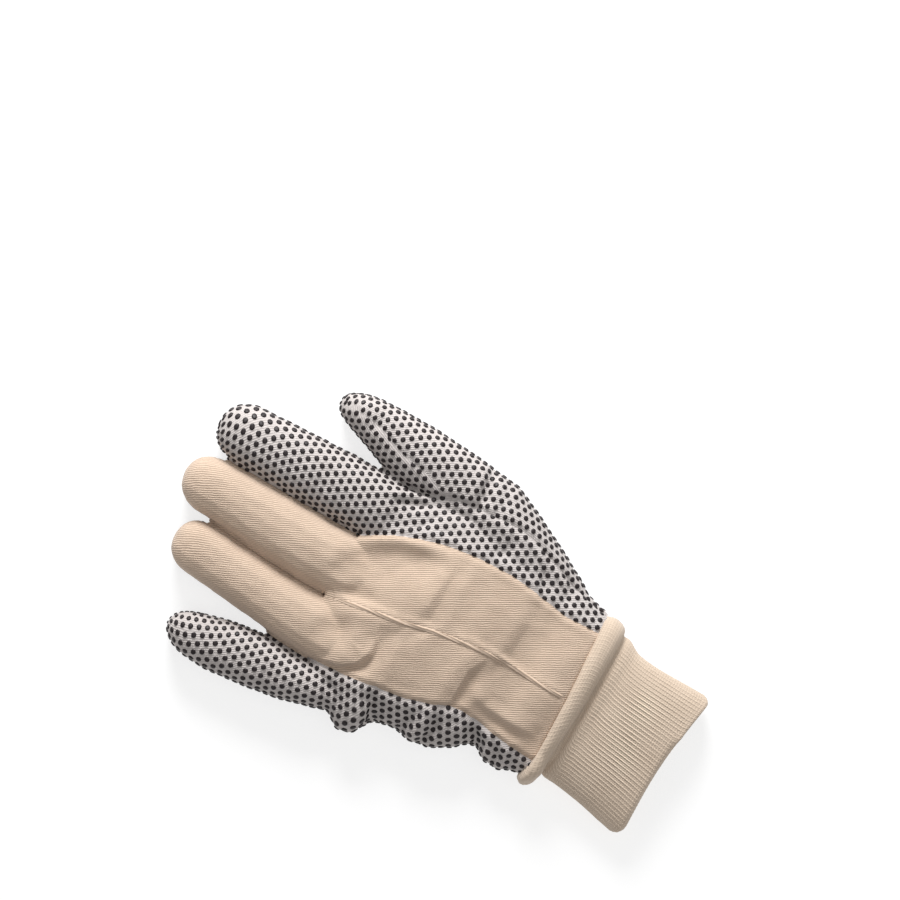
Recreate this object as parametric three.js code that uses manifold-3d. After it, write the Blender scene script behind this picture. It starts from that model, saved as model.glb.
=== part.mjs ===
// A cotton work glove with a knitted wrist, for the left hand, lying palm down.
// Millimetres. The origin is on the floor under the middle of the wrist seam, +Y runs to the fingertips,
// +X to the thumb and +Z out of the back of the hand.
//
// The glove is cut as such gloves are. One dotted piece makes the palm and wraps round the index and little
// fingers. Two plain pieces make the backs of the middle and ring fingers and meet in a raised seam down the
// hand. The thumb is a dotted piece of its own, and the wrist is a ribbed knit that rolls over at its seam.
import * as THREE from 'three';
import { mergeVertices } from 'three/addons/utils/BufferGeometryUtils.js';
import Module from 'manifold-3d';

const wasm = await Module();
wasm.setup();

// Cloth
const drillWall = 1.6;
const knitWall = 2.4;
const seamGap = 0.3;
const floorPress = 0.9;

// Hand, from the wrist seam to the crotches of the fingers
const handLength = 128;
const handHalfWidth = 56;
const handThickness = 30;

// Fingers: how far each reaches past the crotches, how far its form runs back into the hand, and its width
// and thickness when filled
const fingers = {
  index: { reach: 85.7, buried: 28, width: 30, thickness: 23.5 },
  middle: { reach: 89, buried: 28, width: 31, thickness: 24.5 },
  ring: { reach: 78.5, buried: 32, width: 28, thickness: 23.5 },
  little: { reach: 61, buried: 44, width: 26.5, thickness: 21.5 },
  thumb: { reach: 39, buried: 120, width: 28.5, thickness: 22.5 },
};
const middleCentre = 3;
const fingerGap = 2;
const thumbGap = 2;

// Wrist
const wristOffset = 4.6;
const wristTilt = 2.5;
const cuffLength = 58.5;
const cuffHalfWidth = 44;
const cuffThickness = 26;

// Seams
const sideSeamHeight = 6.5;
const seamRidgeRadius = 1.2;
const seamRidgeRise = 0.3;

// Roundness of the sections, and how many points and sections the outside and the inside take
const topRoundness = 2.25;
const bottomRoundness = 2.9;
const middleHeightShare = 0.44;
const foldSharpness = 3;
const tipShare = 0.55;
const tipRoundness = 2.35;
const tipSections = 5;
const lastTipSection = 0.93;
const startSize = 0.7;
const outside = { finger: 16, hand: 36, cuff: 34 };
const inside = { finger: 10, hand: 24, cuff: 24 };
const fingerSteps = 9;
const handSteps = 19;
const cuffSteps = 13;
const ridgeSteps = 18;
const ridgeSides = 8;

// Each finger's sections. along is the share of its length, shift its centre's move as a share of its width,
// width and thickness shares of its own.
const fingerSections = {
  index: [
    { along: 0, shift: 0.027, width: 0.87, thickness: 0.8 },
    { along: 0.12, shift: 0.022, width: 1.02, thickness: 0.98 },
    { along: 0.25, shift: 0.01, width: 1.05, thickness: 1.06 },
    { along: 0.4, shift: 0.013, width: 1.04, thickness: 1.03 },
    { along: 0.57, shift: 0.01, width: 1.01, thickness: 0.98 },
    { along: 0.75, shift: 0.007, width: 0.973, thickness: 0.95 },
    { along: 1, shift: -0.005, width: 0.923, thickness: 0.9 },
  ],
  middle: [
    { along: 0, shift: 0, width: 0.84, thickness: 0.85 },
    { along: 0.12, shift: -0.013, width: 0.98, thickness: 1 },
    { along: 0.26, shift: -0.019, width: 1.01, thickness: 1.06 },
    { along: 0.43, shift: -0.01, width: 1, thickness: 1.03 },
    { along: 0.6, shift: 0.016, width: 0.974, thickness: 0.98 },
    { along: 0.77, shift: 0.055, width: 0.91, thickness: 0.94 },
    { along: 1, shift: 0.077, width: 0.84, thickness: 0.88 },
  ],
  ring: [
    { along: 0, shift: -0.036, width: 0.86, thickness: 0.8 },
    { along: 0.13, shift: -0.021, width: 1.03, thickness: 0.98 },
    { along: 0.26, shift: -0.018, width: 1.05, thickness: 1.06 },
    { along: 0.4, shift: 0.004, width: 1.01, thickness: 1.02 },
    { along: 0.53, shift: 0.054, width: 0.95, thickness: 0.98 },
    { along: 0.67, shift: 0.104, width: 0.92, thickness: 0.95 },
    { along: 0.81, shift: 0.154, width: 0.92, thickness: 0.92 },
    { along: 1, shift: 0.189, width: 0.92, thickness: 0.88 },
  ],
  little: [
    { along: 0, shift: 0.19, width: 0.53, thickness: 0.8 },
    { along: 0.11, shift: 0.189, width: 0.642, thickness: 0.95 },
    { along: 0.19, shift: 0.151, width: 0.68, thickness: 1 },
    { along: 0.27, shift: 0.091, width: 0.74, thickness: 1.05 },
    { along: 0.36, shift: 0.049, width: 0.823, thickness: 1.05 },
    { along: 0.49, shift: 0.006, width: 0.955, thickness: 1.02 },
    { along: 0.63, shift: -0.026, width: 1, thickness: 0.98 },
    { along: 0.75, shift: -0.091, width: 0.95, thickness: 0.94 },
    { along: 0.88, shift: -0.136, width: 0.8, thickness: 0.9 },
    { along: 1, shift: -0.132, width: 0.604, thickness: 0.84 },
  ],
  thumb: [
    { along: 0, shift: -1.27, width: 1.08, thickness: 0.8 },
    { along: 0.1, shift: -1.11, width: 1.21, thickness: 0.92 },
    { along: 0.18, shift: -0.912, width: 1.33, thickness: 1.02 },
    { along: 0.25, shift: -0.749, width: 1.38, thickness: 1.08 },
    { along: 0.33, shift: -0.526, width: 1.4, thickness: 1.1 },
    { along: 0.39, shift: -0.346, width: 1.34, thickness: 1.1 },
    { along: 0.48, shift: -0.161, width: 1.15, thickness: 1.07 },
    { along: 0.58, shift: -0.088, width: 1.12, thickness: 1.04 },
    { along: 0.65, shift: -0.054, width: 1.12, thickness: 1.02 },
    { along: 0.7, shift: -0.018, width: 1.09, thickness: 1 },
    { along: 0.755, shift: 0.028, width: 1.01, thickness: 0.98 },
    { along: 0.79, shift: 0.042, width: 0.982, thickness: 0.97 },
    { along: 0.87, shift: 0.123, width: 0.807, thickness: 0.92 },
    { along: 0.94, shift: 0.175, width: 0.618, thickness: 0.86 },
    { along: 1, shift: 0.175, width: 0.561, thickness: 0.78 },
  ],
};

// The hand's sections. along is the share of its length, left and right are shares of its half width, and
// thickness a share of its own. The left column holds the three scallops of crumpled cloth.
const handSections = [
  { along: -0.06, left: -0.8, right: 0.78, thickness: 0.8 },
  { along: 0.05, left: -0.8, right: 0.79, thickness: 0.83 },
  { along: 0.11, left: -0.855, right: 0.83, thickness: 0.87 },
  { along: 0.16, left: -0.85, right: 0.86, thickness: 0.9 },
  { along: 0.24, left: -0.77, right: 0.91, thickness: 0.93 },
  { along: 0.31, left: -0.87, right: 0.95, thickness: 0.96 },
  { along: 0.38, left: -0.98, right: 0.98, thickness: 0.98 },
  { along: 0.47, left: -1, right: 1.01, thickness: 1 },
  { along: 0.56, left: -0.975, right: 1.02, thickness: 1 },
  { along: 0.6, left: -1, right: 1.02, thickness: 1 },
  { along: 0.65, left: -1.16, right: 1.03, thickness: 0.99 },
  { along: 0.7, left: -1.225, right: 1.03, thickness: 0.97 },
  { along: 0.75, left: -1.18, right: 1.025, thickness: 0.95 },
  { along: 0.79, left: -1.105, right: 1.02, thickness: 0.92 },
  { along: 0.85, left: -1.07, right: 1, thickness: 0.86 },
  { along: 0.91, left: -0.92, right: 0.965, thickness: 0.79 },
  { along: 0.96, left: -0.79, right: 0.92, thickness: 0.72 },
  { along: 1, left: -0.76, right: 0.89, thickness: 0.66 },
];

// The knitted wrist's sections. along is the share of its length below the wrist seam, shift its centre's
// move and width a share of its half width, thickness a share of its own and tilt the section's turn.
const cuffSections = [
  { along: 0, shift: -0.034, width: 1.034, thickness: 0.93, tilt: 2.5 },
  { along: 0.03, shift: -0.055, width: 1.04, thickness: 1.02, tilt: 2.2 },
  { along: 0.075, shift: -0.033, width: 1.03, thickness: 1.06, tilt: 1.2 },
  { along: 0.13, shift: 0, width: 0.98, thickness: 1.04, tilt: -0.4 },
  { along: 0.18, shift: 0.017, width: 0.915, thickness: 0.94, tilt: -1.9 },
  { along: 0.205, shift: 0, width: 0.864, thickness: 0.78, tilt: -2.6 },
  { along: 0.26, shift: -0.026, width: 0.878, thickness: 0.8, tilt: -2.8 },
  { along: 0.36, shift: -0.074, width: 0.858, thickness: 0.82, tilt: -2.9 },
  { along: 0.5, shift: -0.105, width: 0.855, thickness: 0.82, tilt: -3 },
  { along: 0.66, shift: -0.131, width: 0.87, thickness: 0.81, tilt: -3.1 },
  { along: 0.82, shift: -0.157, width: 0.895, thickness: 0.79, tilt: -3.6 },
  { along: 1, shift: -0.18, width: 0.918, thickness: 0.76, tilt: -4.4 },
];
const cuffSpacing = 1.25;
const cuffEndBow = 0.035;

// Seams on the back of the hand, from the wrist to the finger roots, as shares of the hand's length and half
// width. Above its last point each follows the gap between two fingers.
const thumbSideSeam = [
  { along: 0.04, across: 0.607 },
  { along: 0.16, across: 0.6 },
  { along: 0.24, across: 0.63 },
  { along: 0.33, across: 0.665 },
  { along: 0.43, across: 0.685 },
  { along: 0.54, across: 0.682 },
  { along: 0.63, across: 0.66 },
  { along: 0.72, across: 0.625 },
  { along: 0.8, across: 0.57 },
  { along: 0.88, across: 0.5 },
  { along: 0.945, across: 0.42 },
];
const middleSeam = [
  { along: 0.04, across: -0.018 },
  { along: 0.2, across: -0.018 },
  { along: 0.37, across: 0 },
  { along: 0.46, across: -0.02 },
  { along: 0.61, across: -0.08 },
  { along: 0.77, across: -0.15 },
  { along: 0.86, across: -0.185 },
  { along: 0.95, across: -0.225 },
];
const littleSideSeam = [
  { along: 0.04, across: -0.634 },
  { along: 0.16, across: -0.607 },
  { along: 0.27, across: -0.565 },
  { along: 0.34, across: -0.545 },
  { along: 0.385, across: -0.555 },
  { along: 0.43, across: -0.605 },
  { along: 0.55, across: -0.69 },
  { along: 0.7, across: -0.74 },
  { along: 0.84, across: -0.777 },
];

// The thumb's seam, as the seams above: over the back it runs along the hand's side, and under the palm it
// cuts in to the ball of the thumb.
const thumbBackSeam = [
  { along: 0.04, across: 0.77 },
  { along: 0.2, across: 0.86 },
  { along: 0.35, across: 1 },
  { along: 0.47, across: 1.07 },
  { along: 0.59, across: 1.06 },
  { along: 0.66, across: 1.045 },
  { along: 0.75, across: 1.02 },
  { along: 0.82, across: 0.955 },
  { along: 0.9, across: 0.92 },
];
const thumbPalmSeam = [
  { along: 0.04, across: 0.48 },
  { along: 0.2, across: 0.43 },
  { along: 0.35, across: 0.39 },
  { along: 0.58, across: 0.36 },
  { along: 0.7, across: 0.45 },
  { along: 0.79, across: 0.64 },
  { along: 0.89, across: 0.84 },
];

// Folds on the back. Each runs between two points, given as the seams are. spread is its half width as a
// share of the hand's half width, and depth a share of the hand's thickness. A negative depth is a ridge.
const folds = [
  { name: 'ring root crease', from: [0.87, -0.75], to: [0.79, -0.66], spread: 0.12, depth: 0.1 },
  { name: 'ring knuckle crease', from: [0.755, -0.56], to: [0.75, -0.33], spread: 0.13, depth: 0.12 },
  { name: 'ring knuckle roll', from: [0.83, -0.58], to: [0.81, -0.34], spread: 0.18, depth: -0.06 },
  { name: 'middle knuckle crease', from: [0.63, -0.02], to: [0.62, 0.5], spread: 0.17, depth: 0.09 },
  { name: 'long seam valley', from: [0.93, 0.08], to: [0.7, 0.45], spread: 0.22, depth: 0.1 },
  { name: 'ring side crease', from: [0.385, -0.5], to: [0.365, -0.12], spread: 0.16, depth: 0.09 },
  { name: 'thumb side hollow', from: [0.27, 0.08], to: [0.26, 0.5], spread: 0.22, depth: 0.08 },
  { name: 'wrist fold', from: [0.26, -0.43], to: [0.05, -0.46], spread: 0.15, depth: 0.08 },
  { name: 'upper scallop fold', from: [0.61, -1], to: [0.66, -0.78], spread: 0.12, depth: 0.1 },
  { name: 'lower scallop fold', from: [0.235, -0.8], to: [0.3, -0.58], spread: 0.12, depth: 0.1 },
  { name: 'thumb base crease', from: [0.665, 1.02], to: [0.66, 1.4], spread: 0.1, depth: 0.11 },
];

const radians = THREE.MathUtils.degToRad;
const power = (value, exponent) => Math.sign(value) * Math.abs(value) ** exponent;
const half = seamGap / 2;

// Reads a table's named columns at any share along it, on a smooth curve.
function reader(table, columns) {
  const stations = table.map((row) => row.along);
  const values = table.flatMap((row) => columns.map((column) => row[column]));
  const curve = new THREE.CubicInterpolant(stations, values, columns.length);
  return (along) => {
    const read = curve.evaluate(THREE.MathUtils.clamp(along, stations[0], stations.at(-1)));
    return Object.fromEntries(columns.map((column, i) => [column, read[i]]));
  };
}

// A closed mesh through rings of equal length, with a point in the middle of each end.
function skin(rings) {
  const heart = (ring) => ring.reduce((sum, p) => sum.add(p), new THREE.Vector3()).divideScalar(ring.length);
  const count = rings[0].length;
  const last = rings.length - 1;
  const points = [...rings.flat(), heart(rings[0]), heart(rings[last])];
  const at = (ring, k) => ring * count + (k % count);
  const faces = [];
  for (let k = 0; k < count; k += 1) {
    faces.push(points.length - 2, at(0, k), at(0, k + 1));
    faces.push(points.length - 1, at(last, k + 1), at(last, k));
    for (let ring = 0; ring < last; ring += 1) {
      faces.push(at(ring, k), at(ring + 1, k + 1), at(ring, k + 1));
      faces.push(at(ring, k), at(ring + 1, k), at(ring + 1, k + 1));
    }
  }
  return new THREE.BufferGeometry().setFromPoints(points).setIndex(faces);
}

// A closed three.js geometry as a solid that can be joined and cut
function solid(geometry) {
  const bare = geometry.clone();
  bare.deleteAttribute('normal');
  bare.deleteAttribute('uv');
  const merged = mergeVertices(bare);
  const vertProperties = new Float32Array(merged.attributes.position.array);
  const triVerts = new Uint32Array(merged.index.array);
  return new wasm.Manifold(new wasm.Mesh({ numProp: 3, vertProperties, triVerts }));
}

// A solid's surface as a three.js geometry
function surface(manifold) {
  const mesh = manifold.getMesh();
  const positions = new Float32Array(mesh.vertProperties);
  const geometry = new THREE.BufferGeometry();
  geometry.setAttribute('position', new THREE.BufferAttribute(positions, 3));
  geometry.setIndex(new THREE.BufferAttribute(new Uint32Array(mesh.triVerts), 1));
  geometry.computeVertexNormals();
  return geometry;
}

// How far the folds press the back down at a point
function foldDepth(x, y) {
  const point = new THREE.Vector3(x, y, 0);
  const nearest = new THREE.Vector3();
  const place = ([along, across]) => new THREE.Vector3(across * handHalfWidth, along * handLength, 0);
  return folds.reduce((sum, { from, to, spread, depth }) => {
    new THREE.Line3(place(from), place(to)).closestPointToPoint(point, true, nearest);
    const share = nearest.distanceTo(point) / (spread * handHalfWidth);
    return sum + depth * handThickness * Math.exp(-foldSharpness * share ** 2);
  }, 0);
}

// One section lying on the floor: a rounded top that the folds dent, a fuller bottom, and flat where its
// cloth presses on the floor. inset moves it inwards by a wall.
function section({ centre, halfWidth, thickness, count, inset, tilt = 0, size = 1 }) {
  const middle = thickness * middleHeightShare;
  const rise = thickness - middle - inset;
  const fall = middle + floorPress - inset;
  const cos = Math.cos(radians(tilt));
  const sin = Math.sin(radians(tilt));
  return Array.from({ length: count }, (_, k) => {
    const turn = (2 * Math.PI * k) / count;
    const upper = Math.sin(turn) >= 0;
    const roundness = 2 / (upper ? topRoundness : bottomRoundness);
    const across = size * (halfWidth - inset) * power(Math.cos(turn), roundness);
    const up = size * (upper ? rise : fall) * power(Math.sin(turn), roundness);
    const x = centre.x + across * cos;
    const y = centre.y + across * sin;
    const dent = foldDepth(x, y) * ((middle + up) / handThickness) ** 2;
    return new THREE.Vector3(x, y, Math.max(inset, middle + up - dent));
  });
}

// Fingers: readers of their tables, their edges at any height up the glove, and their places side by side
for (const [name, finger] of Object.entries(fingers)) {
  finger.root = handLength - finger.buried;
  finger.length = finger.reach + finger.buried;
  finger.read = reader(fingerSections[name], ['shift', 'width', 'thickness']);
  finger.edge = (y, side) => {
    const { shift, width } = finger.read((y - finger.root) / finger.length);
    return finger.centre + finger.width * (shift + (side * width) / 2);
  };
}

// Sets a finger beside a neighbour so that the narrowest place between them, past the crotch, is the gap.
function setBeside(name, neighbour, side, gap) {
  const finger = fingers[name];
  const other = fingers[neighbour];
  const samples = 24;
  const reach = Math.min(finger.reach - finger.width * tipShare, other.reach - other.width * tipShare);
  finger.centre = 0;
  const gaps = Array.from({ length: samples + 1 }, (_, i) => {
    const y = handLength + (reach * i) / samples;
    return side * (finger.edge(y, -side) - other.edge(y, side));
  });
  finger.centre = side * (gap - Math.min(...gaps));
}
fingers.middle.centre = middleCentre;
setBeside('index', 'middle', 1, fingerGap);
setBeside('ring', 'middle', -1, fingerGap);
setBeside('little', 'ring', -1, fingerGap);
setBeside('thumb', 'index', 1, thumbGap);

function fingerForm(finger, inset, counts) {
  const tipLength = finger.width * tipShare - inset;
  const shaft = finger.length - inset - tipLength;
  const ringAt = (distance, size) => {
    const { shift, width, thickness } = finger.read(distance / finger.length);
    return section({
      centre: new THREE.Vector2(finger.centre + finger.width * shift, finger.root + distance),
      halfWidth: (finger.width * width) / 2,
      thickness: finger.thickness * thickness,
      count: counts.finger,
      inset,
      size,
    });
  };
  const rings = Array.from({ length: fingerSteps }, (_, i) =>
    ringAt((shaft * i) / fingerSteps, i === 0 ? startSize : 1),
  );
  for (let i = 0; i <= tipSections; i += 1) {
    const share = Math.sin((Math.PI / 2) * lastTipSection * (i / tipSections));
    const size = (1 - share ** tipRoundness) ** (1 / tipRoundness);
    rings.push(ringAt(shaft + tipLength * share, size));
  }
  return solid(skin(rings));
}

const readHand = reader(handSections, ['left', 'right', 'thickness']);

function handForm(inset, counts) {
  const overrun = 2 * inset;
  const start = handSections[0].along * handLength - overrun;
  const rings = Array.from({ length: handSteps + 1 }, (_, i) => {
    const y = THREE.MathUtils.lerp(start, handLength - inset, i / handSteps);
    const { left, right, thickness } = readHand(y / handLength);
    return section({
      centre: new THREE.Vector2((handHalfWidth * (left + right)) / 2, y),
      halfWidth: (handHalfWidth * (right - left)) / 2,
      thickness: handThickness * thickness,
      count: counts.hand,
      inset,
    });
  });
  return solid(skin(rings));
}

// The wrist seam, where the drill ends and the knit begins
const wristLine = (x) => wristOffset + x * Math.tan(radians(wristTilt));

// The knitted wrist, from its end to the hand. overrun lets the hollow run out of both ends.
function cuffForm(inset, overrun, counts) {
  const read = reader(cuffSections, ['shift', 'width', 'thickness', 'tilt']);
  const rings = Array.from({ length: cuffSteps + 1 }, (_, i) => {
    const along = (1 - i / cuffSteps) ** cuffSpacing;
    const { shift, width, thickness, tilt } = read(along);
    const centre = new THREE.Vector2(
      cuffHalfWidth * shift,
      wristLine(0) - seamGap - cuffLength * along + overrun * (1 - 2 * along),
    );
    const ring = section({
      centre,
      halfWidth: cuffHalfWidth * width,
      thickness: cuffThickness * thickness,
      count: counts.cuff,
      inset,
      tilt,
    });
    const bow = cuffEndBow * cuffLength * along ** 2;
    ring.forEach((point) => {
      point.y += bow * (1 - 2 * ((point.x - centre.x) / cuffHalfWidth) ** 2);
    });
    return ring;
  });
  return solid(skin(rings));
}

// A seam as points: its table, then the middle of the gap between two fingers up past their tips
function seamPoints(table, left, right) {
  const points = table.map(
    ({ along, across }) => new THREE.Vector2(handHalfWidth * across, handLength * along),
  );
  points.unshift(new THREE.Vector2(points[0].x, -handLength));
  const steps = 6;
  const free = Math.min(left.reach - left.width * tipShare, right.reach - right.width * tipShare);
  for (let i = 0; i <= steps; i += 1) {
    const y = handLength + (free * i) / steps;
    points.push(new THREE.Vector2((left.edge(y, 1) + right.edge(y, -1)) / 2, y));
  }
  points.push(new THREE.Vector2(points.at(-1).x, handLength * 2));
  return points;
}

// A prism on an outline given anticlockwise, grown on every side
function prism(outline, low, high, grow) {
  const grown = outline.map((point, i) => {
    const before = outline.at(i - 1);
    const after = outline[(i + 1) % outline.length];
    const along = after.clone().sub(before).normalize();
    return point.clone().add(new THREE.Vector2(along.y, -along.x).multiplyScalar(grow));
  });
  const depth = high - low + 2 * grow;
  const geometry = new THREE.ExtrudeGeometry(new THREE.Shape(grown), { depth, bevelEnabled: false });
  return solid(geometry.translate(0, 0, low - grow));
}

// Everything between two seams, from a height up
const sky = 2 * handThickness;
const between = (left, right, low, grow) => prism([...right, ...left.toReversed()], low, sky, grow);

const { index, middle, ring, little, thumb } = fingers;
const thumbSide = seamPoints(thumbSideSeam, middle, index);
const centreSeam = seamPoints(middleSeam, ring, middle);
const littleSide = seamPoints(littleSideSeam, little, ring);
const farSide = [-handLength, 2 * handLength].map((y) => new THREE.Vector2(2 * handHalfWidth, y));

const backCutThumbSide = (grow) => between(centreSeam, thumbSide, sideSeamHeight, grow);
const backCutLittleSide = (grow) => between(littleSide, centreSeam, sideSeamHeight, grow);
const thumbCut = (grow) => {
  const level = thumb.thickness * middleHeightShare;
  const over = between(seamPoints(thumbBackSeam, index, thumb), farSide, level, grow);
  const under = [...farSide, ...seamPoints(thumbPalmSeam, index, thumb).toReversed()];
  return over.add(prism(under, -sky, level + 2 * seamGap, grow));
};

// The raised seam between the two back pieces: a rolled edge that belongs to the thumb side one
function seamRidge() {
  const path = centreSeam
    .filter(({ x, y }) => y > wristLine(x) - drillWall && y <= handLength)
    .map(({ x, y }) => {
      const { left, right, thickness } = readHand(y / handLength);
      const share = (2 * x - handHalfWidth * (left + right)) / (handHalfWidth * (right - left));
      const dome = (1 - Math.abs(share) ** topRoundness) ** (1 / topRoundness);
      const top = handThickness * thickness * (middleHeightShare + (1 - middleHeightShare) * dome);
      const dent = foldDepth(x, y) * (top / handThickness) ** 2;
      return new THREE.Vector3(x + half + seamRidgeRadius, y, top - dent - seamRidgeRise);
    });
  const profile = new THREE.Shape().absarc(0, 0, seamRidgeRadius, 0, 2 * Math.PI);
  const geometry = new THREE.ExtrudeGeometry(profile, {
    steps: ridgeSteps,
    curveSegments: ridgeSides / 2,
    bevelEnabled: false,
    extrudePath: new THREE.CatmullRomCurve3(path),
  });
  return solid(geometry);
}

// The drill shell: the hand and every finger joined, less the same forms a wall smaller, and cut off at the
// wrist seam
const joined = (inset, counts) =>
  Object.values(fingers).reduce(
    (sum, finger) => sum.add(fingerForm(finger, inset, counts)),
    handForm(inset, counts),
  );
const wristEnd = [-1, 1].map((side) => {
  const x = side * 2 * handHalfWidth;
  return new THREE.Vector2(x, wristLine(x));
});
const belowWrist = prism(
  [new THREE.Vector2(wristEnd[0].x, -handLength), new THREE.Vector2(wristEnd[1].x, -handLength)].concat(
    wristEnd.toReversed(),
  ),
  -sky,
  sky,
  0,
);
const drill = joined(0, outside).subtract(joined(drillWall, inside)).subtract(belowWrist);
const hand = drill.subtract(thumbCut(half));

const pieces = {
  palm_panel: hand.subtract(backCutThumbSide(half)).subtract(backCutLittleSide(half)),
  thumb: drill.intersect(thumbCut(-half)),
  back_panel_thumb_side: hand
    .intersect(backCutThumbSide(-half))
    .add(seamRidge().subtract(belowWrist)),
  back_panel_little_side: hand.intersect(backCutLittleSide(-half)),
  knit_cuff: cuffForm(0, 0, outside).subtract(cuffForm(knitWall, knitWall, inside)),
};

const cloth = (color, roughness) => new THREE.MeshStandardMaterial({ color, roughness, metalness: 0 });
const materials = {
  palm_panel: cloth(0xcfc8c4, 0.85),
  thumb: cloth(0xcfc8c4, 0.85),
  back_panel_thumb_side: cloth(0xd9c3a6, 0.9),
  back_panel_little_side: cloth(0xd9c3a6, 0.9),
  knit_cuff: cloth(0xe0cdb4, 0.92),
};

const glove = new THREE.Group();
for (const [name, piece] of Object.entries(pieces)) {
  const mesh = new THREE.Mesh(surface(piece), materials[name]);
  mesh.name = name;
  glove.add(mesh);
}

export default glove;
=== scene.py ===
"""A cotton work glove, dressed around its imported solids.

The drill's outer skin is taken from the solids, smoothed, folded and puckered, and cut back into its panels
along their seams. Each panel is laid flat as its pattern piece, so that the twill and the grip dots follow
the cloth. The knitted wrist is a ribbed tube sampled from its solid. Lengths are in millimetres until a
mesh is made.
"""
import math

import bmesh
import bpy
import numpy as np
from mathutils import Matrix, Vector, noise
from mathutils.bvhtree import BVHTree


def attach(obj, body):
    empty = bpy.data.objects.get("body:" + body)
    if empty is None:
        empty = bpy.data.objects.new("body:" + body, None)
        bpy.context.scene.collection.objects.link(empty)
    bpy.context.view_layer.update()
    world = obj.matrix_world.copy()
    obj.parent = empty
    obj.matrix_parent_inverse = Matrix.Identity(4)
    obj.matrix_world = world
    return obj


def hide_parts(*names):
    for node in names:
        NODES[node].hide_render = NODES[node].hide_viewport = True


MM = 0.001

# Skin: the size of its mesh, the rounds that smooth it, how it is carried past the wrist, where it lies above
# the floor, how full it is, and how its fingers touch. Then its folds' strength, and its panels' cloth
VOXEL = 0.9
SMOOTHING_ROUNDS = 34
UNTANGLING_ROUNDS = 7
UNTANGLING_PULL = 0.6
FOLDED_OVER = 0.3
WRIST_OVERRUN = 15.0
WRIST_RING = 1.5
FLOOR_LIFT = 0.4
CLEARANCE = 0.02
FULLNESS = 0.4
FINGER_GAP = 3.0
FINGER_ROOTS = 95.0
FINGER_SIDE = 0.8
TOUCH_GAP = 0.04
FOLD_STRENGTH = 1.25
FOLD_FADE = 0.3
FOLD_END = 0.2
SLIVER = 0.15
MOST_FACES = 96000
CLOTH = 1.3
CUT_EDGE_ANGLE = math.radians(65)
ABOVE = 60.0

# Unevenness of the worn cloth: its height and length, broad and fine, and the broad one's share on top
UNEVEN_HEIGHT = 0.42
UNEVEN_LENGTH = 12.0
UNEVEN_ON_TOP = 0.45
FINE_HEIGHT = 0.16
FINE_LENGTH = 5.0

# Where each noise starts, so that no two are alike
SEEDS = {"uneven": 3.7, "fine": 9.1, "pucker": 21.3, "wander": 6.2, "rib": 2.9, "welt": 5.5}

# Seams: depth and width of the groove, height of the swell beside it, and the puckers along it
GROOVE_DEPTH = 0.8
GROOVE_WIDTH = 1.2
SWELL_HEIGHT = 0.35
SWELL_PLACE = 3.4
SWELL_WIDTH = 2.2
PUCKER_DEPTH = 0.3
PUCKER_LENGTH = 4.4
PUCKER_REACH = 3.8
SEAM_REACH = 12.0
SEAM_STEPS = int(1.6 * SEAM_REACH / VOXEL)
NEAR_SEAM = 1.5 * VOXEL

# Under the welt a seam loses most of these, from so far off the dotted cloth on and over such a span
WELTED_LOSS = 0.8
WELTED_START = 2.0
WELTED_SPAN = 4.0

# The drill runs on under the knit's roll and dips in there
TUCK_LENGTH = 2.6
TUCK_START = -0.3
TUCK_DEPTH = 0.9

# The welt down the middle of the back: its section, how it fades, puckers and leans, its route's steps and
# smoothing, and its cloth
WELT_HALF_WIDTH = 1.3
WELT_HEIGHT = 0.78
WELT_SUNK = 0.2
WELT_ROUNDNESS = 1.15
WELT_FADE = 12.0
WELT_END_FADE = 3.0
WELT_LEAST = 0.1
WELT_PUCKER = 0.22
WELT_PUCKER_LENGTH = 1.9
WELT_LEAN = 0.15
WELT_LEAN_LENGTH = 31.0
WELT_SKIRT = 0.25
WELT_STEP = 0.5
WELT_SEARCH = np.arange(-4, 4.01, 0.25)
WELT_TWILL_SHARE = 0.12
WELT_SIDE_STEP = 0.33
WELT_OVERLAP = 1.5
WELT_EASING = 70
WELT_LAST_EASING = 12
WELT_SIDES = 12

# Laying the panels flat: rounds of easing and of the springs in each, the softest and stiffest spring, how
# many steps of a millimetre tell two corners apart, and the coarse faces of each panel's pattern
PATTERN_ROUNDS = 130
SPRING_ROUNDS = 30
SPRING_LIMITS = (0.05, 5)
CORNER_STEPS = 200
PATTERN_FACES = {
    "palm_panel": 4400,
    "thumb": 2000,
    "back_panel_thumb_side": 1500,
    "back_panel_little_side": 1300,
}

# Grip dots. One is left out where it would lie within the hold of an edge, or be stretched too far by a fold
DOT_PITCH = 4.35
DOT_RADIUS = 1.38
DOT_HEIGHT = 0.62
DOT_DIMPLE = 0.16
DOT_SIDES = 12
DOT_HOLD = 0.1
DOT_STRETCH = 1.8

# A grip dot from its edge to its middle, as (share of its radius, height): a dome with a dimple
DOT_PROFILE = ((1.0, -0.2), (0.88, 0.74 * DOT_HEIGHT), (0.48, DOT_HEIGHT), (0.0, DOT_HEIGHT - DOT_DIMPLE))

# Knit: the span of x over which the wrist seam runs straight, the middle of the tube at each of its ends,
# and the forms of its roll, its hem and its ribs
WRIST_SPAN = (-42, 40)
WRIST_BIN = 3.0
WRIST_MIDDLE = -1.5
HEM_MIDDLE = -7.5
KNIT_MIDDLE_HEIGHT = 10.5
KNIT_REACH = 90.0
KNIT_TURNS = 240
KNIT_HALVINGS = 12
KNIT_SMOOTHING = 24
END_SMOOTHING = 8
END_INSET = 0.02
END_POWER = 6
TURN_IN = 2.4
TURN_IN_REACH = 1.9
ROLL_CREASE = ((-42, -5.2), (0, -8.4), (38, -9.4))
ROLL_HALF_LENGTH = 5.5
ROLL_SWELL = 0.9
ROLL_RIB_SHARE = 0.35
ROLL_CORNER = 1.5
LOBE_START = -37.0
LOBE_LENGTH = 8.0
LOBE_RISE = 3.2
LOBE_SIDE_START = -30.0
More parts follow.
